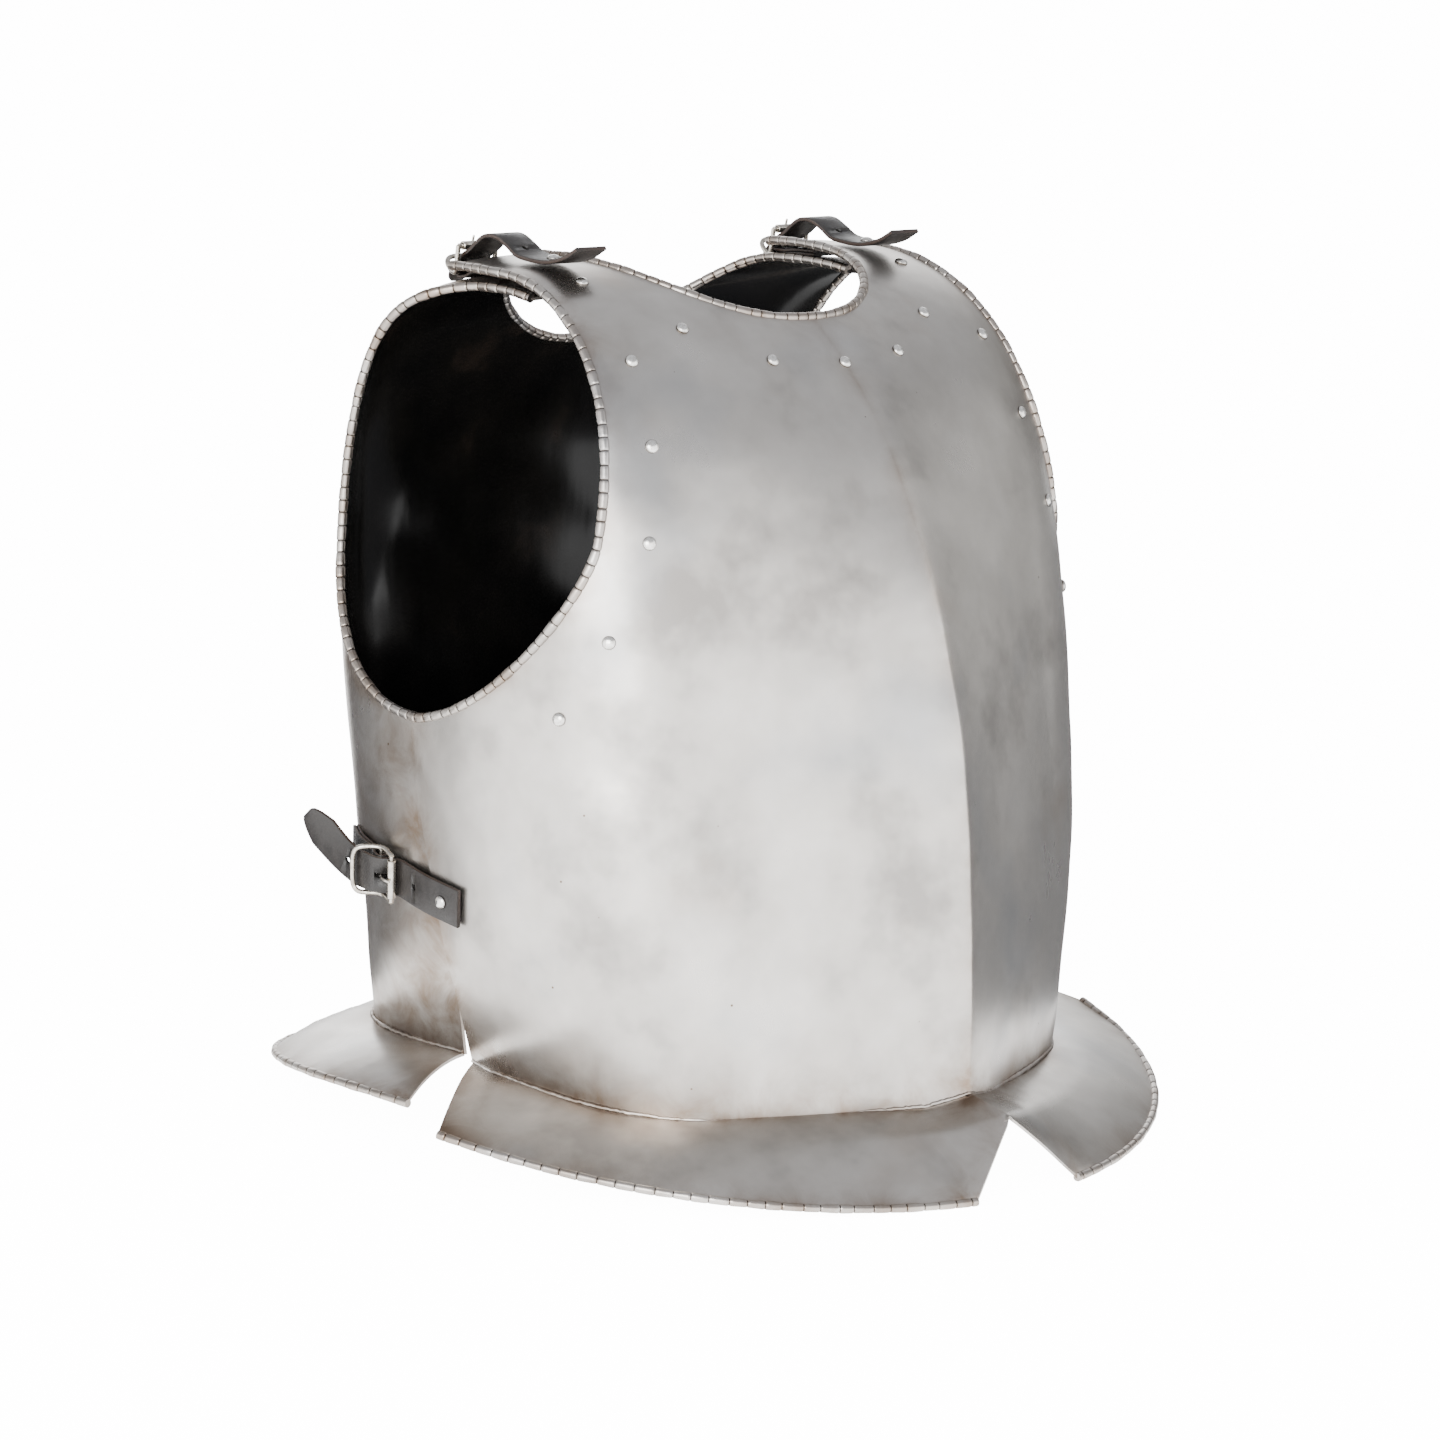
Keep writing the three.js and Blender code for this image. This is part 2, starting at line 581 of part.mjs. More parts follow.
// A rivet that goes down through leather and the shell: its place and the length it grips.
function strapRivet(frame, path, along, thick, shellMesh) {
  const lift = new THREE.Matrix4().makeTranslation(0, 0, thick / 2 + clear.head);
  const place = frame.clone().multiply(strapNormal(path, along)).multiply(lift);
  const down = new THREE.Vector3(0, 0, -1).transformDirection(place);
  const from = new THREE.Vector3().setFromMatrixPosition(place);
  const hits = new THREE.Raycaster(from, down, 0, 12).intersectObject(shellMesh);
  return { place, grip: hits.at(-1).distance + clear.burr };
}

const doubleSided = new THREE.MeshBasicMaterial({ side: THREE.DoubleSide });
const blanks = { front: shell('front'), back: cut(shell('back'), armRolls('front', rollRadius + gap)) };
const blankMeshes = {
  front: new THREE.Mesh(toGeometry(blanks.front), doubleSided),
  back: new THREE.Mesh(toGeometry(blanks.back), doubleSided),
};
const seats = liningSeats(blankMeshes.front);
for (const site of sites) {
  const { billet, chape, chapeRivet } = fittings[site.kind];
  site.frame = strapFrame(site);
  site.billetRivet = strapRivet(site.frame, billet, 0, leather.thick, blankMeshes.front);
  site.chapeRivet = strapRivet(site.frame, chape, chapeRivet, leather.chape, blankMeshes.back);
}

// ---- the assembly -------------------------------------------------------------------------------
const cuirass = new THREE.Group();
function piece(name, geometry, look) {
  const mesh = new THREE.Mesh(geometry, new THREE.MeshStandardMaterial(look));
  mesh.name = name;
  cuirass.add(mesh);
}
const boreFor = ({ place }) => hole(place, rivet.shank + gap);

piece('breastplate', toGeometry(cut(blanks.front,
  [...seats, ...sites.map((site) => site.billetRivet)].map(boreFor))), steelLook);
piece('backplate', toGeometry(cut(blanks.back, sites.map((site) => boreFor(site.chapeRivet)))),
  steelLook);
seats.forEach(({ place, grip }, i) => {
  piece(`lining_rivet_${String(i + 1).padStart(2, '0')}`,
    rivetGeometry(grip).applyMatrix4(place), rivetLook);
});

for (const { kind, hand, side, frame, billetRivet, chapeRivet } of sites) {
  const design = fittings[kind];
  const place = (part, solid, look) =>
    piece(`${kind}_${part}_${hand}`, toGeometry(solid).applyMatrix4(frame), look);
  const path = turnedUp(design.billet, side);
  const punched = [
    ...[0, ...design.holes].map((along) => hole(strapNormal(path, along), rivet.shank + 0.6)),
    toSolid(new THREE.BoxGeometry(7, 3, 7).applyMatrix4(strapNormal(path, design.prongAt))),
  ];
  place('billet', cut(ribbon(path, leather.width, leather.thick), punched), leatherLook);
  place('chape', cut(chapeSolid(design),
    [hole(strapNormal(design.chape, design.chapeRivet), rivet.shank + 0.6)]), leatherLook);
  place('buckle', buckleFrame(design), nickelLook);
  place('roller', toSolid(rollerTube(design.roller)), nickelLook);
  place('prong', prongSolid(design), nickelLook);
  piece(`${kind}_billet_rivet_${hand}`,
    rivetGeometry(billetRivet.grip).applyMatrix4(billetRivet.place), rivetLook);
  piece(`${kind}_chape_rivet_${hand}`,
    rivetGeometry(chapeRivet.grip).applyMatrix4(chapeRivet.place), rivetLook);
}

// Stood on the rims of its flanges, with the middle of its base at the origin.
cuirass.rotation.x = -tilt;
const box = new THREE.Box3().setFromObject(cuirass, true);
const middle = box.getCenter(new THREE.Vector3());
cuirass.position.set(-middle.x, -middle.y, -box.min.z);

export default cuirass;
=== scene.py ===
# Steel cuirass on a pale studio floor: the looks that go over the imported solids.
# Shapes are worked out in millimetres in the wearer's frame (+Z up, -Y forward, +X wearer's left),
# then stood on the floor in metres by onFloor().
import math
import bpy
import bmesh
import numpy as np
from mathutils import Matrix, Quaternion, Vector


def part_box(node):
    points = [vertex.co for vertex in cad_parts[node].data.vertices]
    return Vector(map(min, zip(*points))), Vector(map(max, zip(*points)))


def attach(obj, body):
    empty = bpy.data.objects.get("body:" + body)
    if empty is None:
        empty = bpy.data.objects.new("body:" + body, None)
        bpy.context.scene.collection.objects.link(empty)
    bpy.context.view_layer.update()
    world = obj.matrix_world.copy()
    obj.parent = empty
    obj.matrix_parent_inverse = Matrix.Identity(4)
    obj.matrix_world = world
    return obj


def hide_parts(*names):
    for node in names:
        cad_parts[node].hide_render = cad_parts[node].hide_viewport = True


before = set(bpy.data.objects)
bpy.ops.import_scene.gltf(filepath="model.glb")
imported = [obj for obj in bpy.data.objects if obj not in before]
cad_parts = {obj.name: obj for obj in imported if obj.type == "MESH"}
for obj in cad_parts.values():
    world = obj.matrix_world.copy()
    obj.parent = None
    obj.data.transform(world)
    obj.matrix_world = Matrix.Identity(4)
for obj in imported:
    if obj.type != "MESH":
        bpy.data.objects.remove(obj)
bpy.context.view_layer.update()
print("loaded the solids:", len(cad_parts), "nodes")

# camera, floor and light
cameraSetup = {
    "aim": (-0.0008, 0.0217, 0.1898),
    "turn": -44.63,       # degrees round the object, 0 looks along +Y
    "height": 12.37,      # degrees above the horizon
    "roll": 3.81,
    "distance": 2.6712,
    "lens": 130.3,
}


def makeCamera(setup):
    turn, height = math.radians(setup["turn"]), math.radians(setup["height"])
    back = Vector((math.sin(turn) * math.cos(height), -math.cos(turn) * math.cos(height),
                   math.sin(height)))
    camera = bpy.data.objects.new("camera", bpy.data.cameras.new("camera"))
    bpy.context.scene.collection.objects.link(camera)
    camera.data.lens = setup["lens"]
    camera.data.sensor_width = 36
    camera.data.clip_end = 50
    camera.location = Vector(setup["aim"]) + back * setup["distance"]
    camera.rotation_mode = "QUATERNION"
    level = (-back).to_track_quat("-Z", "Y")
    camera.rotation_quaternion = level @ Quaternion((0, 0, 1), math.radians(setup["roll"]))
    bpy.context.scene.camera = camera
    return camera


camera = makeCamera(cameraSetup)


def hexColour(text):
    parts = [int(text[i:i + 2], 16) / 255 for i in (1, 3, 5)]
    return (*[p / 12.92 if p <= 0.04045 else ((p + 0.055) / 1.055) ** 2.4 for p in parts], 1.0)


def setInputs(tree, node, inputs):   # an input takes a number, a hex colour, a socket or a node
    for name, value in inputs.items():
        if isinstance(value, bpy.types.Node):
            value = next(socket for socket in value.outputs if socket.enabled)
        if isinstance(value, bpy.types.NodeSocket):
            tree.links.new(value, node.inputs[name])
        else:
            node.inputs[name].default_value = hexColour(value) if isinstance(value, str) else value


def addNode(tree, kind, settings=None, inputs=None):
    node = tree.nodes.new(kind)
    settings = dict(settings or {})
    stops = settings.pop("stops", [])   # (place, hex colour or grey level) along a colour ramp
    for name, value in settings.items():
        setattr(node, name, value)
    while stops and len(node.color_ramp.elements) < len(stops):
        node.color_ramp.elements.new(0.5)
    for k, (place, colour) in enumerate(stops):
        stripe = node.color_ramp.elements[k]
        stripe.position = place
        stripe.color = hexColour(colour) if isinstance(colour, str) else (colour,) * 3 + (1,)
    setInputs(tree, node, inputs or {})
    return node


def newMaterial(name):
    material = bpy.data.materials.new(name)
    material.use_nodes = True
    return material, material.node_tree, material.node_tree.nodes["Principled BSDF"]


def addFlatSheet(name, corners, height, material):
    mesh = bpy.data.meshes.new(name)
    mesh.from_pydata([(x, y, height) for x, y in corners], [], [tuple(range(len(corners)))])
    mesh.materials.append(material)
    flatSheet = bpy.data.objects.new(name, mesh)
    bpy.context.scene.collection.objects.link(flatSheet)
    return flatSheet


lightSetup = {
    "boxAim": (0, 0, 0.22), "clothHeight": 0.002,
    "sky": "#7E7F82", "horizon": "#FFFFFF", "skyStrength": 3.7,
    "flags": [   # grey flags that shade the steel from the sides
        {"toward": (0.99, -0.08, 0.0), "shade": 0.20, "edge": (0.74, 0.90)},
        {"toward": (0.95, 0.30, 0.05), "shade": 0.40, "edge": (0.90, 0.95)},
        {"toward": (-0.30, 0.95, 0.0), "shade": 0.30, "edge": (0.66, 0.86)},
    ],
    "boxes": [   # where, size in metres, watts
        {"name": "keyBox", "at": (-1.9, -1.1, 1.0), "size": (1.6, 1.4), "watts": 55},
    ],
    "cloths": [   # grey cloths lying beside the steel: only its reflections see them
        {"name": "rightCloth", "corners": [(0.3, -0.5), (8.5, -2.2), (8.5, 1.7), (0.3, 1.7)]},
        {"name": "rearCloth", "corners": [(0.0, 0.26), (0.2, 2.0), (-1.4, 2.4), (-1.9, 1.5),
                                          (-0.30, 0.19)]},
    ],
}


def makeStudio(setup):
    world = bpy.data.worlds.new("studio")
    bpy.context.scene.world = world
    world.use_nodes = True
    tree = world.node_tree
    tree.nodes.clear()
    place = addNode(tree, "ShaderNodeTexCoord").outputs["Generated"]
    split = addNode(tree, "ShaderNodeSeparateXYZ", None, {"Vector": place})
    colour = addNode(tree, "ShaderNodeValToRGB",
                     {"stops": [(0.31, setup["horizon"]), (0.53, setup["sky"])]},
                     {"Fac": split.outputs["Z"]})
    for flag in setup["flags"]:
        facing = addNode(tree, "ShaderNodeVectorMath", {"operation": "DOT_PRODUCT"},
                         {0: place, 1: flag["toward"]})
        outer, inner = flag["edge"]
        shade = addNode(tree, "ShaderNodeValToRGB",
                        {"stops": [(outer, 1.0), (inner, flag["shade"])]},
                        {"Fac": facing.outputs["Value"]})
        colour = addNode(tree, "ShaderNodeMix", {"data_type": "RGBA", "blend_type": "MULTIPLY"},
                         {"Factor": 1.0, "A": colour, "B": shade})
    light = addNode(tree, "ShaderNodeBackground", None,
                    {"Color": colour, "Strength": setup["skyStrength"]})
    plain = addNode(tree, "ShaderNodeBackground", None, {"Color": "#FFFFFF", "Strength": 1.0})
    path = addNode(tree, "ShaderNodeLightPath")
    pick = addNode(tree, "ShaderNodeMixShader", None,
                   {0: path.outputs["Is Camera Ray"], 1: light, 2: plain})
    addNode(tree, "ShaderNodeOutputWorld", None, {"Surface": pick})
    for box in setup["boxes"]:
        lamp = bpy.data.lights.new(box["name"], "AREA")
        lamp.shape = "RECTANGLE"
        lamp.size, lamp.size_y = box["size"]
        lamp.energy = box["watts"]
        lampObject = bpy.data.objects.new(box["name"], lamp)
        lampObject.location = box["at"]
        toward = Vector(setup["boxAim"]) - Vector(box["at"])
        lampObject.rotation_mode = "QUATERNION"
        lampObject.rotation_quaternion = toward.to_track_quat("-Z", "Y")
        bpy.context.scene.collection.objects.link(lampObject)
    material, tree, shader = newMaterial("greyFelt")       # wool felt: no gloss at all
    setInputs(tree, shader, {"Base Color": "#6A6A6C", "Roughness": 1.0})
    for cloth in setup["cloths"]:
        felt = addFlatSheet(cloth["name"], cloth["corners"], setup["clothHeight"], material)
        felt.visible_camera = felt.visible_diffuse = felt.visible_shadow = False


def makeFloor():
    # matt studio paper: no grain shows, a faint unevenness keeps it from being one flat value
    material, tree, shader = newMaterial("studioPaper")
    place = addNode(tree, "ShaderNodeTexCoord").outputs["Object"]
    cloud = addNode(tree, "ShaderNodeTexNoise", None, {"Vector": place, "Scale": 2.0})
    tone = addNode(tree, "ShaderNodeValToRGB", {"stops": [(0.3, "#F4F4F3"), (0.7, "#F7F7F6")]},
                   {"Fac": cloud})
    path = addNode(tree, "ShaderNodeLightPath")            # burnt out to white, as on a lit table
    glow = addNode(tree, "ShaderNodeMapRange", None,
                   {"Value": path.outputs["Is Camera Ray"], "To Min": 2.4, "To Max": 14.0})
    setInputs(tree, shader, {"Base Color": tone, "Roughness": 0.9, "Emission Color": "#FFFFFF",
                             "Emission Strength": glow})
    half = 9.0
    corners = [(-half, -half), (half, -half), (half, half), (-half, half)]
    addFlatSheet("studioFloor", corners, 0.0, material)


makeStudio(lightSetup)
makeFloor()
print("camera, floor and light are set")

# the form of the trunk
sheet = 1.6
waistZ, chestZ = 40.0, 200.0
trunk = {
    "half": {"waist": 162, "chest": 185, "dome": 7},
    "front": {"waist": 133, "chest": 149, "dome": 2.8},
    "back": {"waist": 163, "chest": 125, "dome": 2.14},
    "frontCorner": (2.9, 3.9), "backCorner": (3.6, 3.6),
    "narrowing": 1.8, "lean": 0.15,
    "ridge": 32, "ridgeSpread": 110, "ridgeFalloff": 1.5, "ridgeFade": 1.5, "ridgeSoft": (1.2, 40),
}
breast = {"crownZ": 441, "inset": 0}
backPlate = {"crownZ": 432.5, "inset": sheet + 0.5}
armHole = {
    "y": 17.5, "z": 313, "down": 94.5,
    "front": {"deep": 107.5, "up": 123, "upper": 2.13, "lower": 1.67},
    "back": {"deep": 85, "up": 115, "upper": 2.28, "lower": 1.95},
}
neckHole = {
    "half": 83, "power": 2.2, "front": {"y": 10, "deep": 80.5}, "back": {"y": 44, "deep": 60},
}
seam = {"y": -5, "rake": 0.117, "overlap": 4, "parted": 9, "closedZ": 110}
lappet = {"front": 46, "back": -13, "inner": 85, "outer": 135}
waistDip = {"side": 41.5, "front": 31, "ridge": 5, "ridgeTurn": 8, "back": 48}
stand = {"slope": 0.078, "y": -233, "z": -5}
shells = {
    "front": {"plate": breast, "forward": -1, "middle": 0, "tip": lappet["front"]},
    "back": {"plate": backPlate, "forward": 1, "middle": 180, "tip": lappet["back"]},
}


def mix(a, b, t):
    return a + (b - a) * t


def girthAt(plate, s, inset):
    rise = np.clip(s, 0, 0.9999)
    fall = np.maximum(-s, 0) ** trunk["narrowing"]

    def size(span):
        high = (span["chest"] - inset) * (1 - rise ** span["dome"]) ** (1 / span["dome"])
        return np.where(s > 0, high, mix(span["chest"], span["waist"], fall) - inset)
    top = plate["crownZ"] - (inset - plate["inset"]) - chestZ
    z = chestZ + s * np.where(s > 0, top, chestZ - waistZ)
    return {
        "z": z, "half": size(trunk["half"]),
        "front": size(trunk["front"]), "back": size(trunk["back"]),
        "frontCorner": mix(*trunk["frontCorner"], rise),
        "backCorner": mix(*trunk["backCorner"], rise),
        "ridge": trunk["ridge"] * (1 - rise ** trunk["ridgeFade"]),
        "soft": mix(*trunk["ridgeSoft"], rise ** 2.4), "shift": trunk["lean"] * (z - chestZ),
    }


def ridgeAt(girth, x):
    away = np.hypot(x, girth["soft"]) - girth["soft"]
    return girth["ridge"] * np.maximum(0, 1 - away / trunk["ridgeSpread"]) ** trunk["ridgeFalloff"]


def onForm(plate, turn, s, inset):
    turn, s = np.broadcast_arrays(np.asarray(turn, float), np.asarray(s, float))
    girth = girthAt(plate, s, inset)
    side, ahead = np.sin(np.radians(turn)), np.cos(np.radians(turn))
    corner = np.where(ahead > 0, girth["frontCorner"], girth["backCorner"])
    spread = (np.abs(side) ** corner + np.abs(ahead) ** corner) ** (1 / corner)
    x = girth["half"] * side / spread
    y = np.where(ahead > 0, -girth["front"] * ahead / spread - ridgeAt(girth, x),
                 -girth["back"] * ahead / spread)
    return np.stack([x, y + girth["shift"], girth["z"]], -1)


def outwardAt(plate, turn, s):
    inset = plate["inset"]
    across = onForm(plate, turn + 0.5, s, inset) - onForm(plate, turn - 0.5, s, inset)
    up = onForm(plate, turn, s + 0.002, inset) - onForm(plate, turn, s - 0.002, inset)
    normal = np.cross(across, up)
    return normal / np.linalg.norm(normal, axis=-1, keepdims=True)


def heightToS(plate, z):
    z = np.asarray(z, float)
    return np.where(z > chestZ, (z - chestZ) / (plate["crownZ"] - chestZ),
                    (z - chestZ) / (chestZ - waistZ))


def fromSide(plate, y, z):   # a place on the form from its depth and height
    s = float(heightToS(plate, z))
    girth = girthAt(plate, s, plate["inset"])
    away = y - girth["shift"]
    deep = min(abs(away) / (girth["front"] if away < 0 else girth["back"]), 1)
    corner = girth["frontCorner"] if away < 0 else girth["backCorner"]
    turn = math.degrees(math.atan2((1 - deep ** corner) ** (1 / corner), deep))
    return (turn if away < 0 else 180 - turn), s


def fromAbove(plate, x, y):   # a place on the form from its position in plan
    def shares(s):
        girth = girthAt(plate, s, plate["inset"])
        away = y - girth["shift"]
        ahead = away < 0
        deep = max(0, -away - ridgeAt(girth, x)) / girth["front"] if ahead else away / girth["back"]
        return x / girth["half"], deep, ahead, girth["frontCorner" if ahead else "backCorner"]
    low, high = 0.0, 0.9999
    for _ in range(40):
        middle = (low + high) / 2
        wide, deep, ahead, corner = shares(middle)
        if wide ** corner + deep ** corner < 1:
            low = middle
        else:
            high = middle
    wide, deep, ahead, corner = shares(low)
    turn = math.degrees(math.atan2(wide, deep))
    return (turn if ahead else 180 - turn), low


# The roller of a shoulder buckle has a known centre in the wearer's frame, so it gives the stand.
lean = math.atan(stand["slope"])
rollerLow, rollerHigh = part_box("shoulder_roller_left")
rollerCentre = np.array((rollerLow + rollerHigh) / 2)


def leanBack(points):
    points = np.asarray(points, float) / 1000
    x, y, z = points[..., 0], points[..., 1], points[..., 2]
    return np.stack([x, y * math.cos(lean) + z * math.sin(lean),
                     z * math.cos(lean) - y * math.sin(lean)], -1)


standShift = rollerCentre - leanBack([110, 55, 445.1])


def onFloor(points):
    return leanBack(points) + standShift


# mesh helpers
class Builder:
    def __init__(self):
        self.points, self.faces, self.slots, self.marks = [], [], [], []
        self.count = 0

    def add(self, points, marks=None):
        points = np.asarray(points, float).reshape(-1, 3)
        start = self.count
        self.points.append(points)
        self.marks.append(np.zeros(len(points)) if marks is None else np.ravel(marks))
        self.count += len(points)
        return start

    def quad(self, corners, slot=0):
        self.faces.append(corners)
        self.slots.append(slot)

    def strip(self, start, rows, columns, slot=0, closed=False):
        for r in range(rows - 1):
            for c in range(columns if closed else columns - 1):
                d = (c + 1) % columns
                self.quad((start + r * columns + c, start + r * columns + d,
                           start + (r + 1) * columns + d, start + (r + 1) * columns + c), slot)

    def wall(self, starts, cells, slot=0):   # joins two layers along a run of their points
        outer, inner = starts
        for a, b in zip(cells[:-1], cells[1:]):
            self.quad((outer + a, outer + b, inner + b, inner + a), slot)

    def block(self, corners):   # eight corners, the last axis running fastest
        start = self.add(corners)
        for face in ((0, 1, 3, 2), (4, 6, 7, 5), (0, 4, 5, 1), (2, 3, 7, 6), (0, 2, 6, 4),
                     (1, 5, 7, 3)):
            self.quad(tuple(start + k for k in face))

    def finish(self, name, materials, weldGap=0.00002, sharpAngle=38):
        mesh = bpy.data.meshes.new(name)
        points = onFloor(np.concatenate(self.points))
        points[:, 2] = np.maximum(points[:, 2], 0)          # what rests on the floor is worn flat
        mesh.from_pydata(points.tolist(), [], self.faces)
        mark = mesh.attributes.new("wear", "FLOAT", "POINT")
        mark.data.foreach_set("value", np.concatenate(self.marks).astype(np.float32))
        for material in materials:
            mesh.materials.append(material)
        mesh.polygons.foreach_set("material_index", self.slots)
        work = bmesh.new()
        work.from_mesh(mesh)
        bmesh.ops.remove_doubles(work, verts=work.verts, dist=weldGap)
        bmesh.ops.dissolve_degenerate(work, dist=1e-7, edges=work.edges)
        bmesh.ops.recalc_face_normals(work, faces=work.faces)
        for face in work.faces:
            face.smooth = True
        for edge in work.edges:
            if len(edge.link_faces) == 2 and edge.calc_face_angle(0) > math.radians(sharpAngle):
                edge.smooth = False
        work.to_mesh(mesh)
        work.free()
        piece = bpy.data.objects.new(name, mesh)
        bpy.context.scene.collection.objects.link(piece)
        return piece


def smoothPath(points, perSpan=10):   # a smooth curve through the points
    pts = np.asarray(points, float)
    pts = np.concatenate([[2 * pts[0] - pts[1]], pts, [2 * pts[-1] - pts[-2]]])
    out = []
    for i in range(1, len(pts) - 2):
        p0, p1, p2, p3 = pts[i - 1:i + 3]
        d0, d1, d2 = [math.sqrt(max(np.linalg.norm(b - a), 1e-6)) for a, b in
                      ((p0, p1), (p1, p2), (p2, p3))]
        m1 = ((p1 - p0) / d0 - (p2 - p0) / (d0 + d1) + (p2 - p1) / d1) * d1
        m2 = ((p2 - p1) / d1 - (p3 - p1) / (d1 + d2) + (p3 - p2) / d2) * d1
        for t in np.arange(perSpan) / perSpan:
            out.append((2 * t**3 - 3 * t**2 + 1) * p1 + (t**3 - 2 * t**2 + t) * m1
                       + (3 * t**2 - 2 * t**3) * p2 + (t**3 - t**2) * m2)
    out.append(pts[-2])
    return np.array(out)


def lengthsAlong(path):
    return np.concatenate([[0], np.cumsum(np.linalg.norm(np.diff(path, axis=0), axis=1))])


def pointsAt(path, places):
    lengths = lengthsAlong(path)
    return np.stack([np.interp(places, lengths, path[:, k]) for k in range(path.shape[1])], -1)


def evenly(path, step):
    total = lengthsAlong(path)[-1]
    return pointsAt(path, np.linspace(0, total, max(2, int(round(total / step)) + 1)))


def addTube(builder, path, radius, sides=12, slot=0, squash=1.0, marks=0.0):
    path = np.asarray(path, float)
    radius = np.broadcast_to(radius, len(path))
    marks = np.broadcast_to(marks, len(path))
    tangents = np.gradient(path, axis=0)
    tangents /= np.linalg.norm(tangents, axis=1, keepdims=True)
    side = np.cross(tangents[0], (0.1, 0.2, 1))
    angles = 2 * np.pi * np.arange(sides) / sides
    rings = []
    for place, along, r in zip(path, tangents, radius):
        side = side - along * side.dot(along)
        side /= np.linalg.norm(side)
        up = np.cross(along, side)
        rings.append(place + r * (np.outer(np.cos(angles), side)
                                  + squash * np.outer(np.sin(angles), up)))
    start = builder.add(np.array(rings), np.repeat(marks, sides))
    builder.strip(start, len(path), sides, slot, closed=True)
    for row, flip in ((0, 1), (len(path) - 1, -1)):
        ring = [start + row * sides + k for k in range(sides)][::flip]
        builder.quad(tuple(ring), slot)


def standAs(piece, body, slotName, *nodes):
    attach(piece, body)
    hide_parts(*nodes)


print("form and mesh helpers are ready")

# materials of the plates
def makeBurnishedSteel():
    # mild steel sheet, hammered to shape and burnished: broad soft reflections that are cloudy from
    # place to place, with brown and bluish heat tints left by the torch along welds and edges
    # the wear marks also carry painted shade: the back plate's side strip and the breastplate's
    # ridge
    material, tree, shader = newMaterial("burnishedSteel")
    place = addNode(tree, "ShaderNodeTexCoord").outputs["Object"]
    wear = addNode(tree, "ShaderNodeAttribute", {"attribute_name": "wear"}).outputs["Fac"]
    cloud = addNode(tree, "ShaderNodeTexNoise", None,      # burnishing clouds
                    {"Vector": place, "Scale": 16.0, "Detail": 4.0, "Roughness": 0.55})
    base = addNode(tree, "ShaderNodeValToRGB",
                   {"stops": [(0.32, "#9A9692"), (0.47, "#BCB8B3"), (0.68, "#CFCBC6")]},
                   {"Fac": cloud})
    blotch = addNode(tree, "ShaderNodeTexNoise", None,     # patches of heat tint
                     {"Vector": place, "Scale": 38.0, "Detail": 5.0, "Roughness": 0.62,
                      "Distortion": 0.6})
    patch = addNode(tree, "ShaderNodeValToRGB", {"stops": [(0.38, 0.25), (0.64, 1.0)]},
                    {"Fac": blotch})
    # heat tints, and painted shade on the back plate's side strip and the breastplate's ridge
    heatTintAndShade = addNode(tree, "ShaderNodeMath", {"operation": "MULTIPLY"}, {0: wear, 1: patch})
    brown = addNode(tree, "ShaderNodeMix", {"data_type": "RGBA"},
                    {"Factor": heatTintAndShade, "A": base, "B": "#7A6450"})
    far = addNode(tree, "ShaderNodeTexNoise", None,        # a few broad bluish and brown clouds
                  {"Vector": place, "Scale": 9.0, "Detail": 3.0, "Roughness": 0.5})
    blueMask = addNode(tree, "ShaderNodeValToRGB", {"stops": [(0.58, 0.0), (0.72, 0.55)]},
                       {"Fac": far})
    blue = addNode(tree, "ShaderNodeMix", {"data_type": "RGBA"},
                   {"Factor": blueMask, "A": brown, "B": "#A3A6AA"})
    tintMask = addNode(tree, "ShaderNodeValToRGB", {"stops": [(0.28, 0.5), (0.40, 0.0)]},
                       {"Fac": far})
    tinted = addNode(tree, "ShaderNodeMix", {"data_type": "RGBA"},
                     {"Factor": tintMask, "A": blue, "B": "#A08F7E"})
    speck = addNode(tree, "ShaderNodeTexVoronoi", None,    # rare rust pits, about 1 mm wide
                    {"Vector": place, "Scale": 36.0})
    pits = addNode(tree, "ShaderNodeValToRGB", {"stops": [(0.016, 1.0), (0.028, 0.0)]},
                   {"Fac": speck})
    pitted = addNode(tree, "ShaderNodeMix", {"data_type": "RGBA"},
                     {"Factor": pits, "A": tinted, "B": "#6A5A4C"})
    nickDarkening = addNode(tree, "ShaderNodeValToRGB",            # the nicks darkened nearly to black
                    {"stops": [(0.86, 0.0), (0.97, 1.0)]}, {"Fac": wear})
    nicksDarkened = addNode(tree, "ShaderNodeMix", {"data_type": "RGBA"},
                    {"Factor": nickDarkening, "A": pitted, "B": "#231C17"})
    stretch = addNode(tree, "ShaderNodeMapping", None, {"Vector": place, "Scale": (1.0, 1.0, 0.12)})
    rub = addNode(tree, "ShaderNodeTexNoise", None,        # rubbing marks, drawn out up and down
                  {"Vector": stretch, "Scale": 420.0, "Detail": 3.0})
    both = addNode(tree, "ShaderNodeMath", {"operation": "MULTIPLY_ADD"},
                   {0: rub, 1: 0.22, 2: cloud})
    rough = addNode(tree, "ShaderNodeMapRange", None,
                    {"Value": both, "From Min": 0.3, "From Max": 0.9, "To Min": 0.40,
                     "To Max": 0.25})
    hammer = addNode(tree, "ShaderNodeTexNoise", None,     # planishing blows
                     {"Vector": place, "Scale": 48.0, "Detail": 1.0})
    low = addNode(tree, "ShaderNodeBump", None,
                  {"Height": hammer, "Strength": 0.35, "Distance": 0.0008})
    fine = addNode(tree, "ShaderNodeBump", None,
                   {"Height": rub, "Strength": 0.04, "Distance": 0.0002, "Normal": low})
    setInputs(tree, shader, {"Base Color": nicksDarkened, "Metallic": 1.0, "Roughness": rough,
                             "Normal": fine})
    return material


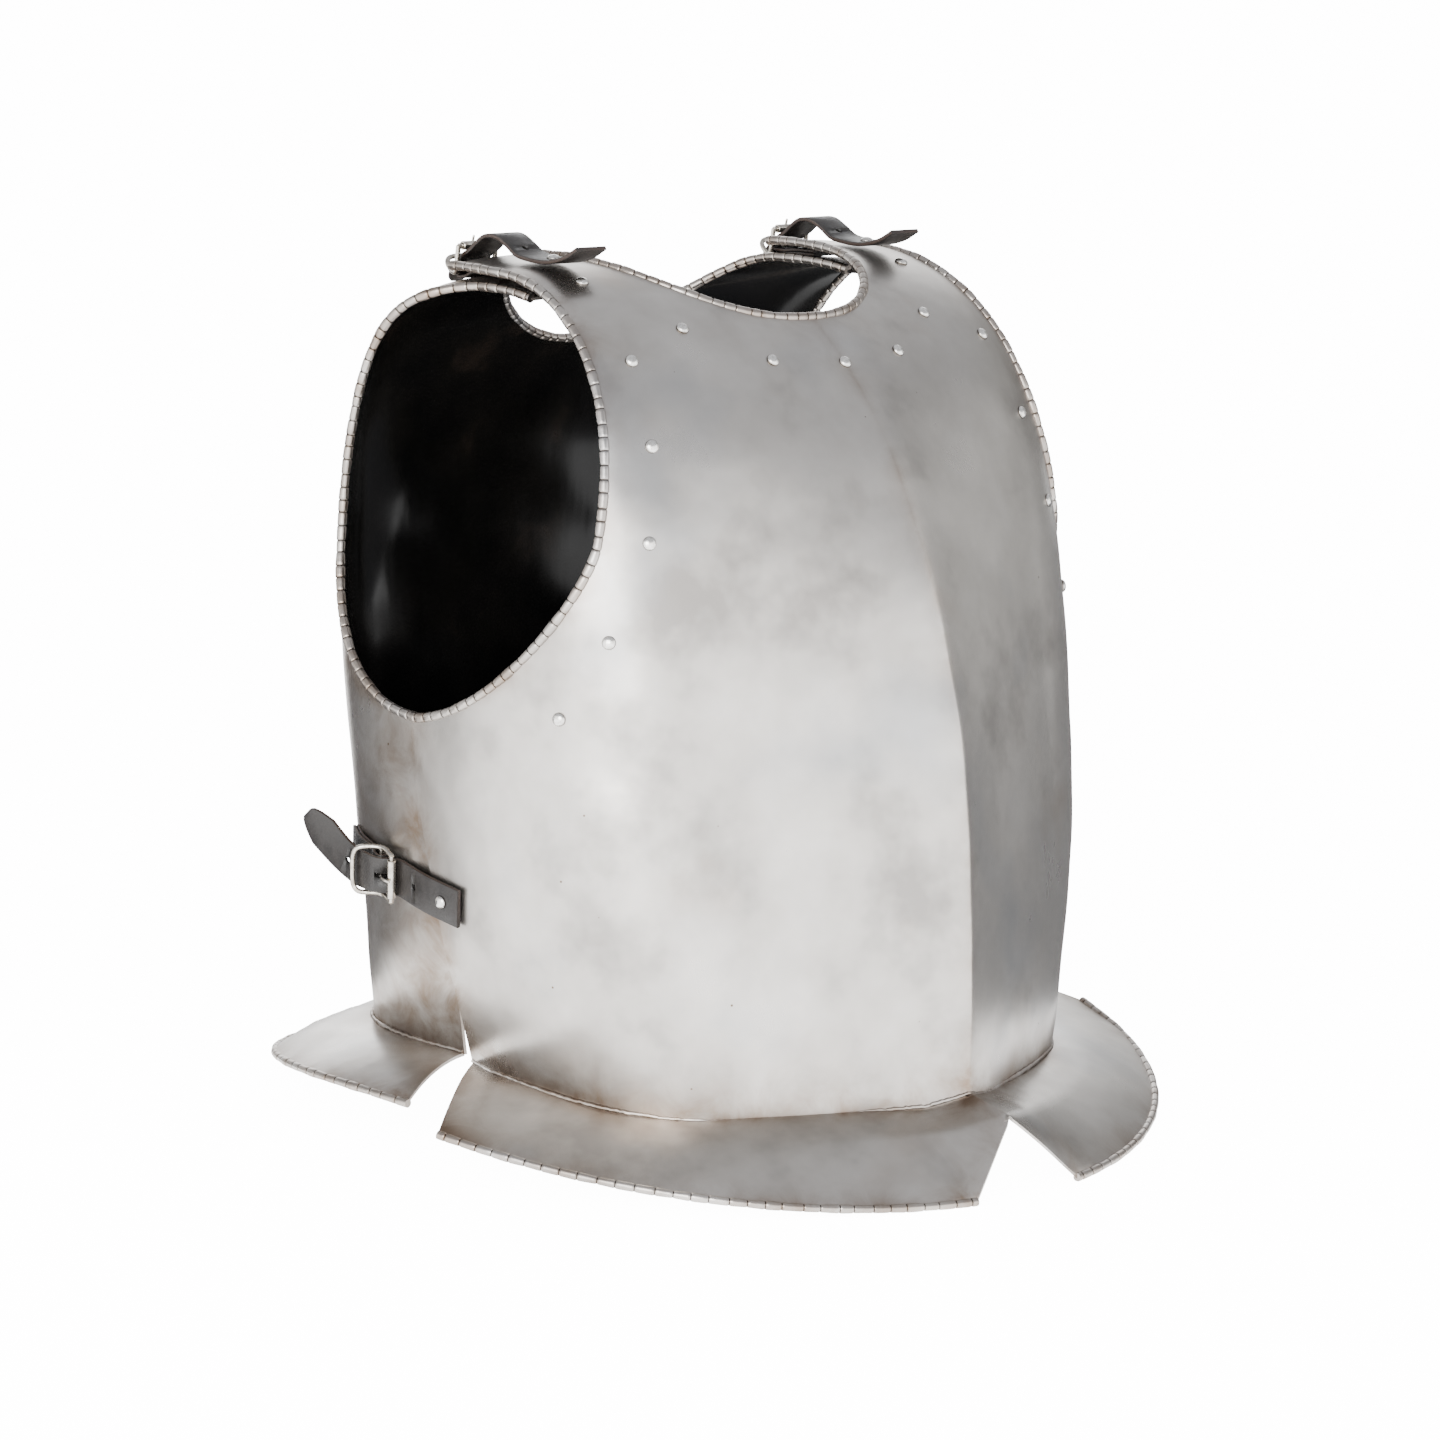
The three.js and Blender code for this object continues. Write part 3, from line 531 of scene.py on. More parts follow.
def makeBlackEnamel():
    # black enamel brushed on inside: deep gloss with slow waves, and a brown bloom where it is thin
    material, tree, shader = newMaterial("blackEnamel")
    place = addNode(tree, "ShaderNodeTexCoord").outputs["Object"]
    cloud = addNode(tree, "ShaderNodeTexNoise", None,
                    {"Vector": place, "Scale": 22.0, "Detail": 5.0})
    base = addNode(tree, "ShaderNodeValToRGB",
                   {"stops": [(0.40, "#050505"), (0.62, "#0A0908"), (0.78, "#1D1713")]},
                   {"Fac": cloud})
    rough = addNode(tree, "ShaderNodeMapRange", None,
                    {"Value": cloud, "From Min": 0.3, "From Max": 0.8, "To Min": 0.10,
                     "To Max": 0.24})
    brushed = addNode(tree, "ShaderNodeMapping", None, {"Vector": place, "Scale": (1.0, 1.0, 0.25)})
    wave = addNode(tree, "ShaderNodeTexNoise", None,       # brush marks, drawn out up and down
                   {"Vector": brushed, "Scale": 60.0, "Detail": 2.0})
    bump = addNode(tree, "ShaderNodeBump", None,
                   {"Height": wave, "Strength": 0.2, "Distance": 0.0006})
    setInputs(tree, shader, {"Base Color": base, "Roughness": rough, "IOR": 1.5,
                             "Specular IOR Level": 0.16, "Normal": bump})
    return material


burnishedSteel = makeBurnishedSteel()
blackEnamel = makeBlackEnamel()

# the two shells
shellSetup = {
    "rows": {"belowArm": 36, "besideArm": 56, "ofNeck": 32, "ofTip": 10},
    "columns": 84,
    "crowding": 1.35,     # columns stand closer at the ridge
    "armShoulder": 30,
    "dents": [            # wavelength and depth of the hand-hammered unevenness, mm
        (150, 0.45), (95, 0.32), (62, 0.22), (41, 0.11), (28, 0.04),
    ],
}
mostHeat = 0.85           # wear above this is kept for the darkened nicks
dice = np.random.default_rng(11)
dentWaves = []
for wavelength, depth in shellSetup["dents"]:
    for _ in range(4):
        heading = dice.normal(size=3)
        heading *= 2 * math.pi / (wavelength * np.linalg.norm(heading))
        dentWaves.append((heading, dice.uniform(0, 2 * math.pi), depth / 2))


def dentAt(points):
    return sum(depth * np.sin(points @ heading + phase) for heading, phase, depth in dentWaves)


def waistHeight(turn):
    turn = np.abs(np.asarray(turn, float))
    ahead = np.cos(np.radians(np.minimum(turn, 90)))
    low = mix(waistDip["side"], waistDip["front"], np.minimum(1, 1.4 * ahead))
    low = low + waistDip["ridge"] * np.maximum(0, 1 - turn / waistDip["ridgeTurn"])
    return mix(low, waistDip["back"], np.clip((turn - 92) / 8, 0, 1))


def sideEdge(part, z):
    y = seam["y"] + seam["rake"] * (z - waistZ)
    closing = min(max((z - waistZ) / (seam["closedZ"] - waistZ), 0), 1)
    return y if part == "front" else y + mix(seam["parted"], -seam["overlap"], closing)


def armEdge(part, angle):
    curve, forward = armHole[part], shells[part]["forward"]
    up, out = math.sin(math.radians(angle)), math.cos(math.radians(angle))
    power = curve["upper"] if up > 0 else curve["lower"]
    reach = curve["up"] if up > 0 else -armHole["down"]
    return (armHole["y"] + forward * curve["deep"] * out ** (2 / power),
            armHole["z"] + reach * abs(up) ** (2 / power))


def neckEdge(part, angle):
    curve, forward = neckHole[part], shells[part]["forward"]
    side = math.sin(math.radians(angle)) ** (2 / neckHole["power"])
    ahead = max(math.cos(math.radians(angle)), 0) ** (2 / neckHole["power"])
    return neckHole["half"] * side, curve["y"] + forward * curve["deep"] * ahead


def borders(part):   # inner and outer border of half a shell: turn and s, row by row
    plate, middle, tip = (shells[part][k] for k in ("plate", "middle", "tip"))
    rows = shellSetup["rows"]
    foot = armHole["z"] - armHole["down"]
    sideTurn = fromSide(plate, sideEdge(part, waistZ), waistZ)[0]
    sideZ = float(waistHeight(sideTurn))
    waistS, footS = float(heightToS(plate, waistHeight(middle))), float(heightToS(plate, foot))
    neckMiddleS = fromAbove(plate, 0, neckEdge(part, 0)[1])[1]
    inner, outer = [], []
    for v in np.linspace(0, 1, rows["belowArm"] + 1):
        z = mix(sideZ, foot, v)
        inner.append((middle, mix(waistS, footS, v)))
        outer.append(fromSide(plate, mix(sideEdge(part, z), armHole["y"], v ** 4), z))
    for v in np.linspace(0, 1, rows["besideArm"] + 1)[1:]:
        inner.append((middle, mix(footS, neckMiddleS, v)))
        outer.append(fromSide(plate, *armEdge(part, mix(-90, shellSetup["armShoulder"], v))))
    for v in np.linspace(0, 1, rows["ofNeck"] + 1)[1:]:
        inner.append(fromAbove(plate, *neckEdge(part, 90 * v)))
        outer.append(fromSide(plate, *armEdge(part, mix(shellSetup["armShoulder"], 88, v))))
    neckTop, armTop = neckEdge(part, 90), armEdge(part, 88)
    armTopX = float(onForm(plate, *outer[-1], plate["inset"])[0])
    for v in np.linspace(0, 1, rows["ofTip"] + 1)[1:]:
        inner.append(fromAbove(plate, mix(neckTop[0], lappet["inner"], v), mix(neckTop[1], tip, v)))
        outer.append(fromAbove(plate, mix(armTopX, lappet["outer"], v), mix(armTop[0], tip, v)))
    return np.array(inner), np.array(outer)


def makeShell(part, name):
    plate = shells[part]["plate"]
    inner, outer = borders(part)
    rows, columns = len(inner), shellSetup["columns"] + 1
    below = shellSetup["rows"]["belowArm"]
    shared = below + shellSetup["rows"]["besideArm"] + 1      # rows that reach the middle
    u = np.linspace(0, 1, columns) ** shellSetup["crowding"]
    turn = mix(inner[:, :1], outer[:, :1], u)
    level = mix(inner[:, 1:], outer[:, 1:], u)
    low = np.maximum(0, 1 - np.arange(rows) / below)[:, None]
    level = level + low * (heightToS(plate, waistHeight(turn)) - mix(inner[0, 1], outer[0, 1], u))
    builder = Builder()
    for side in (1, -1):
        skins = [onForm(plate, side * turn, level, plate["inset"] + deep) for deep in (0, sheet)]
        out = skins[0] - skins[1]
        out /= np.linalg.norm(out, axis=-1, keepdims=True)
        dent = dentAt(skins[0])[..., None]
        skins = [skin + out * dent for skin in skins]
        for skin in skins:
            skin[:shared, 0, 0] = 0
        toWeld = skins[0][..., 2] - waistHeight(turn)
        toEdge = np.linalg.norm(skins[0] - skins[0][:, -1:], axis=-1)
        toNeck = np.linalg.norm(skins[0] - skins[0][shared:shared + 1, :1], axis=-1)
        heat = np.exp(-toWeld / 14) + 0.8 * np.exp(-toEdge / 10) + 0.25 * np.exp(-toNeck / 60)
        # painted shade with a brown tint: the back plate's side strip darkened by the breastplate's
        # edge
        if part == "back":
            heat = heat + 0.85 * np.exp(-toEdge / 80)       # painted shade by the seam
        else:
            # painted shade: a dark line along the medial ridge marks its crease
            heat = heat + 0.45 * np.exp(-np.abs(skins[0][..., 0]) / 4)
        heat = np.clip(heat, 0, mostHeat)
        starts = [builder.add(skin, heat) for skin in skins]
        builder.strip(starts[0], rows, columns, 0)
        builder.strip(starts[1], rows, columns, 1)
        builder.wall(starts, range(columns))
        builder.wall(starts, [(rows - 1) * columns + c for c in range(columns)])
        builder.wall(starts, [r * columns + columns - 1 for r in range(rows)])
        builder.wall(starts, [r * columns for r in range(shared - 1, rows)])
    return builder.finish(name, [burnishedSteel, blackEnamel])


# turned edges with their chisel nicks
rollSetup = {"radius": 2.4, "nick": 6.8, "nickWide": 0.5, "nickDeep": 0.15, "jitter": 0.8}
hemSetup = {"radius": 2.1, "nick": 9.0, "nickWide": 0.55, "nickDeep": 0.17, "jitter": 1.1}


def addNickedRoll(builder, path, setup, sides=14):   # a rolled edge, nicked across at even steps
    total = lengthsAlong(path)[-1]
    nicks = np.arange(setup["nick"] / 2, total, setup["nick"])
    nicks = nicks + dice.uniform(-setup["jitter"], setup["jitter"], len(nicks))
    wide = setup["nickWide"]
    places = [0.0, total] + [n + k * wide for n in nicks for k in (-2, -1, -0.5, 0, 0.5, 1, 2)]
    places = np.unique(np.clip(np.concatenate([places, np.arange(0, total, 2.2)]), 0, total))
    places = places[np.concatenate([[True], np.diff(places) > 0.08])]
    nearest = np.abs(places[:, None] - nicks[None]).min(1)
    nicked = np.exp(-(nearest / wide) ** 2)
    swell = 1 + 0.05 * np.sin(places / 5.3) + 0.04 * np.sin(places / 2.9 + 1)
    radius = setup["radius"] * swell * (1 - setup["nickDeep"] * nicked)
    addTube(builder, pointsAt(path, places), radius, sides, marks=0.64 + 0.36 * nicked)


def mirrored(points):
    return np.asarray(points) * (-1, 1, 1)


def makeRolls(part, name):
    plate = shells[part]["plate"]
    inner, outer = borders(part)
    below, beside = shellSetup["rows"]["belowArm"], shellSetup["rows"]["besideArm"]
    arm = np.array([onForm(plate, *place, plate["inset"] + 0.3) for place in outer[below:]])
    neck = np.array([onForm(plate, *place, plate["inset"] + 0.3)
                     for place in inner[below + beside:]])
    neck[0, 0] = 0
    builder = Builder()
    for path in (arm, mirrored(arm), np.concatenate([neck[::-1], mirrored(neck)[1:]])):
        addNickedRoll(builder, path, rollSetup)
    return builder.finish(name, [burnishedSteel], weldGap=1e-6)


# waist flanges
flangeSetup = {
    "front": {"half": 238, "deep": 235, "y": 3, "power": 2, "from": 8.7, "to": 75.5, "slope": 0.19},
    "back": {"half": 220, "deep": 185, "y": 10, "power": 2.3, "from": 0, "to": 97, "lift": 24,
             "liftEnds": 165},
    "notch": {"y": -217, "z": 29, "at": 0.4},
    "bulge": 4, "columns": 96, "rows": 18,
}


def rimPoint(part, angle):
    rim = flangeSetup[part]
    side = np.sin(np.radians(angle)) ** (2 / rim["power"])
    ahead = np.cos(np.radians(angle))
    reach = np.sign(ahead) * np.abs(ahead) ** (2 / rim["power"])
    if part == "front":
        y = rim["y"] - rim["deep"] * reach
        return np.stack([rim["half"] * side, y, stand["z"] + rim["slope"] * (y - stand["y"])], -1)
    y = rim["y"] + rim["deep"] * reach
    away = (y + rim["y"] * 2) / (rim["liftEnds"] + rim["y"] * 2)
    z = stand["z"] + stand["slope"] * (y - stand["y"]) + rim["lift"] * np.maximum(0, 1 - away ** 2)
    return np.stack([rim["half"] * side, y, z], -1)


def weldLine(part, u, lift=0.0):
    plate, middle = shells[part]["plate"], shells[part]["middle"]
    sideTurn = fromSide(plate, sideEdge(part, waistZ), waistZ)[0]
    turn = mix(middle, sideTurn, u)
    s = heightToS(plate, waistHeight(turn))
    return onForm(plate, turn, s, plate["inset"] + sheet / 2 - lift)


def makeFlange(part, name):
    rim, notch = flangeSetup[part], flangeSetup["notch"]
    u = np.linspace(0, 1, flangeSetup["columns"] + 1)[None, :, None]
    v = np.linspace(0, 1, flangeSetup["rows"] + 1)[:, None, None]
    bulge = flangeSetup["bulge"] * 4 * v * (1 - v)
    angles = mix(rim["from"], rim["to"], u[0, :, 0])
    point = mix(weldLine(part, u[0, :, 0])[None], rimPoint(part, angles)[None], v)
    point[..., 2:] += bulge
    if part == "front":
        apex = np.array([0, notch["y"], notch["z"]])
        top, corner = weldLine("front", 0.0), rimPoint("front", rim["from"])
        share = np.clip(v[:, 0] / notch["at"], 0, 1)
        rest = np.clip((v[:, 0] - notch["at"]) / (1 - notch["at"]), 0, 1)
        cut = mix(mix(top, apex, share), corner, rest)
        plain = mix(top, corner, v[:, 0])
        plain[:, 2:] += bulge[:, 0]
        point = point + (cut - plain)[:, None] * (1 - u) ** 6
        point[v[:, 0, 0] <= notch["at"], 0, 0] = 0
    builder = Builder()
    rows, columns = point.shape[:2]
    fromWeld, fromRim = v[..., 0], 1 - v[..., 0]
    fromEnd, fromGap = u[..., 0], 1 - u[..., 0]
    heat = (np.exp(-fromWeld * 9) + 0.7 * np.exp(-fromRim * 8)
            + 0.5 * np.exp(-fromEnd * 14) + 0.5 * np.exp(-fromGap * 14))
    heat = np.clip(heat, 0, mostHeat)
    heat = np.broadcast_to(heat, (rows, columns))
    for side in (1, -1):
        skin = point * (side, 1, 1)
        ripple = dentAt(skin * (1, 1, 1.5))[..., None] * (0, 0, 1) * 1.3
        layers = [skin + ripple + (0, 0, sheet / 2), skin + ripple - (0, 0, sheet / 2)]
        starts = [builder.add(layer, heat) for layer in layers]
        builder.strip(starts[0], rows, columns, 0)
        builder.strip(starts[1], rows, columns, 1)
        builder.wall(starts, range(columns))
        builder.wall(starts, [(rows - 1) * columns + c for c in range(columns)])
        builder.wall(starts, [r * columns + columns - 1 for r in range(rows)])
        if part == "front":
            builder.wall(starts, [r * columns for r in range(rows)])
    return builder.finish(name, [burnishedSteel, blackEnamel])


def makeHems(part, name):
    rim = flangeSetup[part]
    edge = rimPoint(part, np.linspace(rim["from"], rim["to"], 160))
    builder = Builder()
    if part == "front":
        paths = [edge, mirrored(edge)]
    else:
        paths = [np.concatenate([edge[::-1], mirrored(edge)[1:]])]
    for path in paths:
        addNickedRoll(builder, path, hemSetup)
    return builder.finish(name, [burnishedSteel], weldGap=1e-6)


def makeWeld(part, name):   # the ground-down bead between a shell and its flange
    bead = {"radius": 1.05, "out": 1.0, "up": 0.9, "step": 1.6}
    builder = Builder()
    half = weldLine(part, np.linspace(0, 1, 140), lift=bead["out"])
    path = evenly(np.concatenate([half[::-1], mirrored(half)[1:]]), bead["step"])
    path[:, 2] += bead["up"] + dice.uniform(-0.25, 0.25, len(path))
    radius = bead["radius"] * dice.uniform(0.75, 1.2, len(path))
    addTube(builder, path, radius, 8, marks=0.8)
    return builder.finish(name, [burnishedSteel], weldGap=1e-6)


plates = {"front": "breastplate", "back": "backplate"}
for part, node in plates.items():
    made = [makeShell(part, node + "Shell"), makeRolls(part, node + "TurnedEdges"),
            makeFlange(part, node + "Flange"), makeHems(part, node + "FlangeHems"),
            makeWeld(part, node + "WaistWeld")]
    for piece in made:
        standAs(piece, "root", "plate_steel", node)
    print("built the", node)

# rivets
def makeRivetSteel():
    # turned and polished steel rivets: tight bright highlights, a little grey film round the rim
    material, tree, shader = newMaterial("polishedRivetSteel")
    place = addNode(tree, "ShaderNodeTexCoord").outputs["Object"]
    wear = addNode(tree, "ShaderNodeAttribute", {"attribute_name": "wear"}).outputs["Fac"]
    film = addNode(tree, "ShaderNodeTexNoise", None,
                   {"Vector": place, "Scale": 700.0, "Detail": 3.0})
    bright = addNode(tree, "ShaderNodeValToRGB", {"stops": [(0.35, "#D2CFCA"), (0.6, "#F0EEEA")]},
                     {"Fac": film})
    rim = addNode(tree, "ShaderNodeMix", {"data_type": "RGBA"},
                  {"Factor": wear, "A": bright, "B": "#5B544D"})
    rough = addNode(tree, "ShaderNodeMapRange", None,
                    {"Value": film, "To Min": 0.34, "To Max": 0.16})
    scratch = addNode(tree, "ShaderNodeBump", None,
                      {"Height": film, "Strength": 0.15, "Distance": 0.0002})
    setInputs(tree, shader, {"Base Color": rim, "Metallic": 1.0, "Roughness": rough,
                             "Normal": scratch})
    return material


rivetSteel = makeRivetSteel()
rivetSetup = {
    "head": [(3.3, -0.2), (3.42, 0.2), (3.35, 0.62), (2.95, 1.2), (2.2, 1.75), (1.2, 2.1),
             (0.3, 2.2)],
    "burr": [(2.1, 0.0), (2.1, 0.45), (1.6, 0.8), (0.6, 0.95)],
    "sides": 28,
    "lining": [   # distance from the middle and height on the breastplate, mm
        (0, 391), (44, 394), (85, 410), (112, 432), (123, 397), (130, 358), (141, 313), (160, 266),
        (174, 228),
    ],
}


# A solid turned on a lathe; its profile is (radius, height) pairs.
def addTurned(builder, centre, axis, profile, sides, slot=0, marks=None):
    axis = np.asarray(axis, float) / np.linalg.norm(axis)
    side = np.cross(axis, (0.3, 0.9, 0.2) if abs(axis[0]) > 0.6 else (1, 0.1, 0.2))
    side /= np.linalg.norm(side)
    up = np.cross(axis, side)
    angles = 2 * np.pi * np.arange(sides) / sides
    ring = np.outer(np.cos(angles), side) + np.outer(np.sin(angles), up)
    points = np.array([np.asarray(centre) + r * ring + h * axis for r, h in profile])
    start = builder.add(points, None if marks is None else np.repeat(marks, sides))
    builder.strip(start, len(profile), sides, slot, closed=True)
    builder.quad(tuple(start + k for k in range(sides))[::-1], slot)
    builder.quad(tuple(start + (len(profile) - 1) * sides + k for k in range(sides)), slot)


def turnAcross(across, s):
    low, high = 0.0, 90.0
    for _ in range(30):
        middle = (low + high) / 2
        if float(onForm(breast, middle, s, 0)[0]) < across:
            low = middle
        else:
            high = middle
    return low


def addRivet(builder, place, normal, grip):
    tilt = normal + dice.normal(size=3) * 0.03      # set by hand, so each stands a little off true
    addTurned(builder, place, tilt, rivetSetup["head"], rivetSetup["sides"],
              marks=[1.0, 1.0, 0.55, 0.0, 0.0, 0.0, 0.0])
    addTurned(builder, place - normal * grip, -normal, rivetSetup["burr"], rivetSetup["sides"])


def makeLiningRivets():
    builder = Builder()
    for across, height in rivetSetup["lining"]:
        s = float(heightToS(breast, height))
        turn = turnAcross(across, s)
        for angle in ([turn, -turn] if across else [0.0]):
            skin = onForm(breast, angle, s, 0)
            normal = outwardAt(breast, angle, s)
            addRivet(builder, skin + normal * dentAt(skin), normal, sheet)
    return builder.finish("liningRivets", [rivetSteel], weldGap=1e-6)


standAs(makeLiningRivets(), "root", "rivet_steel", *["lining_rivet_%02d" % k for k in range(1, 18)])
print("set the rivets")


# materials of the straps and buckles
def makeBridleLeather():
    # black bridle leather, dyed through and waxed: low sheen, fine pebbled grain, brown where the
    # cut edges and the holes show the flesh side
    material, tree, shader = newMaterial("blackBridleLeather")
    place = addNode(tree, "ShaderNodeTexCoord").outputs["Object"]
    wear = addNode(tree, "ShaderNodeAttribute", {"attribute_name": "wear"}).outputs["Fac"]
    cloud = addNode(tree, "ShaderNodeTexNoise", None,
                    {"Vector": place, "Scale": 120.0, "Detail": 4.0})
    dye = addNode(tree, "ShaderNodeValToRGB", {"stops": [(0.35, "#0F0D0C"), (0.7, "#1E1B19")]},
                  {"Fac": cloud})
    cutEdge = addNode(tree, "ShaderNodeMix", {"data_type": "RGBA"},
                      {"Factor": wear, "A": dye, "B": "#33231A"})
    rough = addNode(tree, "ShaderNodeMapRange", None,
                    {"Value": cloud, "From Min": 0.3, "From Max": 0.75, "To Min": 0.36,
                     "To Max": 0.55})
    grain = addNode(tree, "ShaderNodeTexVoronoi", {"feature": "SMOOTH_F1"},   # pebbled grain
                    {"Vector": place, "Scale": 1400.0})
    crease = addNode(tree, "ShaderNodeTexNoise", None,
                     {"Vector": place, "Scale": 260.0, "Detail": 3.0})
    low = addNode(tree, "ShaderNodeBump", None,
                  {"Height": crease, "Strength": 0.4, "Distance": 0.0004})
    fine = addNode(tree, "ShaderNodeBump", None,
                   {"Height": grain, "Strength": 0.35, "Distance": 0.0002, "Normal": low})
    setInputs(tree, shader, {"Base Color": cutEdge, "Roughness": rough, "Normal": fine})
    return material


def makeNickelPlate():
    # nickel-plated steel wire: warm silver, near mirror, with a dull film in the crooks
    material, tree, shader = newMaterial("nickelPlate")
    place = addNode(tree, "ShaderNodeTexCoord").outputs["Object"]
    film = addNode(tree, "ShaderNodeTexNoise", None,
                   {"Vector": place, "Scale": 380.0, "Detail": 3.0})
    base = addNode(tree, "ShaderNodeValToRGB", {"stops": [(0.35, "#A9A298"), (0.6, "#D3CDC3")]},
                   {"Fac": film})
    rough = addNode(tree, "ShaderNodeMapRange", None,
                    {"Value": film, "From Min": 0.3, "From Max": 0.7, "To Min": 0.32,
                     "To Max": 0.14})
    setInputs(tree, shader, {"Base Color": base, "Metallic": 1.0, "Roughness": rough})
    return material


bridleLeather = makeBridleLeather()
nickelPlate = makeNickelPlate()

# buckled straps
# Places on a strap are (along, out) or (along, out, across), in the strap's own frame.
strapSetup = {"width": 20, "thick": 2.2, "chapeWidth": 19, "ply": 1.75, "edgeRound": 0.6, "tip": 13}
wireSetup = {"side": 12.4, "radius": 1.3, "endBar": 1.2, "rollerIn": 1.5, "rollerOut": 2.2,
             "rollerHalf": 10.2, "prong": 0.95, "clear": 0.3}
fittings = {
    "shoulder": {
        "billet": [(-27, 9.5), (-18, 4.9), (-8, 2.4), (0, 1.9), (10, 2.8), (18, 4.4), (25, 8.6),
                   (33, 12.3), (41, 12.2), (47, 8.8), (52, 5), (57, 2.2), (61, -1), (65, -4.4),
                   (69, -7.2), (74, -11.6)],
        "holes": [22, 36], "roller": (57, 6.7), "bar": (60, -6.6), "bow": (69, 0.6),
        "bowFoot": (66, -2.6), "prongAt": 61.9,
        "prong": [(62.6, -6.6), (62.9, -3), (61.9, 2), (60.8, 7), (59.6, 11.5)],
        "chape": [(57, -6.6), (50, -5.2), (44, -4.6), (30, -4.6)], "chapeRivet": 38,
    },
    "side": {
        "billet": [(-12, 1.9), (0, 1.9), (10, 1.8), (22, 0.6), (31, -1), (36, -1.3), (40.4, 0.2),
                   (44, 3.8), (48, 5.3), (53, 5.5), (60, 5.4), (70, 5.8, 3), (80, 7, 9),
                   (93, 10, 20)],
        "holes": [22, 66], "roller": (37, 3), "bar": (48.5, -0.3), "bow": (59.5, 9.2),
        "bowFoot": (57, 7.4), "prongAt": 43.8,
        "prong": [(45.9, -0.3), (45.2, 1.6), (43.4, 4), (40, 6.2), (34.6, 6.3)],
        "chape": [(51, -0.6), (56, -3), (62, -4.8), (73, -8.2), (84, -14.4)], "chapeRivet": 72,
    },
}
strapPlaces = {
    "shoulder": {"at": (110, -2, 438.4), "out": (0, 0, 1), "along": (0, 1, 0)},
    "side": {"at": (180.4, -3, 129), "out": (0.99, 0, -0.134), "along": (0, 0.985, 0.174)},
}


def strapFrame(kind, side):   # turns places on the strap into the wearer's frame
    site = strapPlaces[kind]
    out = np.array(site["out"], float) * (side, 1, 1)
    out /= np.linalg.norm(out)
    along = np.array(site["along"], float)
    along -= out * along.dot(out)
    along /= np.linalg.norm(along)
    across = np.cross(out, along)
    origin = np.array(site["at"], float) * (side, 1, 1)

    def place(points):
        points = np.asarray(points, float)
        return origin + points[..., :1] * along + points[..., 1:2] * across + points[..., 2:] * out
    return place


def inThree(places, side=1):   # (along, out, across) to (x, y, z) of the strap's frame
    return np.array([(p[0], side * (p[2] if len(p) > 2 else 0), p[1]) for p in places], float)


def roundedSection(width, thick, rounding):
    corners = [(1, 1), (-1, 1), (-1, -1), (1, -1)]
    section = []
    for k, (a, b) in enumerate(corners):
        centre = (a * (width / 2 - rounding), b * (thick / 2 - rounding))
        for turn in (0, 45, 90):
            angle = math.radians(90 * k + turn)
            section.append((centre[0] + rounding * math.cos(angle),
                            centre[1] + rounding * math.sin(angle)))
    section.insert(0, (width / 2, 0.0))
    return np.array(section)


def addStrap(builder, path, width, thick, place, widths=None, slot=0):
    path = np.asarray(path, float)
    along = np.gradient(path, axis=0)
    along /= np.linalg.norm(along, axis=1, keepdims=True)
    across = np.array([0.0, 1.0, 0.0]) - along * along[:, 1:2]
    across /= np.linalg.norm(across, axis=1, keepdims=True)
    out = np.cross(along, across)
    widths = np.ones(len(path)) if widths is None else widths
    rings, marks = [], []
    for k, middle in enumerate(path):
        section = roundedSection(width * widths[k], thick, strapSetup["edgeRound"])
        rings.append(middle + section[:, :1] * across[k] + section[:, 1:] * out[k])
        marks.append(np.where(np.abs(section[:, 1]) < thick * 0.38, 0.75, 0.06))
    sides = rings[0].shape[0]
    start = builder.add(place(np.array(rings)), np.array(marks))
    builder.strip(start, len(path), sides, slot, closed=True)
    builder.quad(tuple(start + k for k in range(sides))[::-1], slot)
    builder.quad(tuple(start + (len(path) - 1) * sides + k for k in range(sides)), slot)


def cutAway(piece, cutter):
    change = piece.modifiers.new("punched", "BOOLEAN")
    change.operation, change.object, change.solver = "DIFFERENCE", cutter, "EXACT"
    depsgraph = bpy.context.evaluated_depsgraph_get()
    cutMesh = bpy.data.meshes.new_from_object(piece.evaluated_get(depsgraph))
    piece.modifiers.clear()
    piece.data = cutMesh
    bpy.data.objects.remove(cutter)


def strapAt(path, along):   # where a path passes this far along, and its outward normal
    k = int(np.argmin(np.abs(path[:, 0] - along)))
    k = min(max(k, 1), len(path) - 2)
    run = path[k + 1] - path[k - 1]
    out = np.cross(run / np.linalg.norm(run), (0, 1, 0))
    return path[k], out / np.linalg.norm(out)


def makeBillet(kind, side, place):
    setup = fittings[kind]
    path = evenly(smoothPath(inThree(setup["billet"], side)), 1.0)
    lengths = lengthsAlong(path)
    toTip = lengths[-1] - lengths
    tip = strapSetup["tip"]
    widths = np.where(toTip < tip, 0.32 + 0.68 * (toTip / tip) ** 0.6, 1.0)
    widths = widths * (1 - 0.05 * np.exp(-((lengths - lengths.mean()) / 9) ** 2))
    builder = Builder()
    addStrap(builder, path, strapSetup["width"], strapSetup["thick"], place, widths)
    piece = builder.finish("strap", [bridleLeather])
    punches = Builder()
    for along in setup["holes"]:
        spot, out = strapAt(path, along)
        ends = place(np.array([spot - out * 5, spot + out * 5]))
        addTurned(punches, ends[0], ends[1] - ends[0], [(1.9, 0), (1.9, 10)], 20)
    spot, out = strapAt(path, setup["prongAt"])
    run = np.cross((0, 1, 0), out)
    slot = [spot + out * o + run * r + np.array([0, a, 0]) for o in (-4, 4) for r in (-3.5, 3.5)
            for a in (-1.4, 1.4)]
    punches.block(place(np.array(slot)))
    cutAway(piece, punches.finish("punch", [bridleLeather], weldGap=1e-6))
    return piece, path


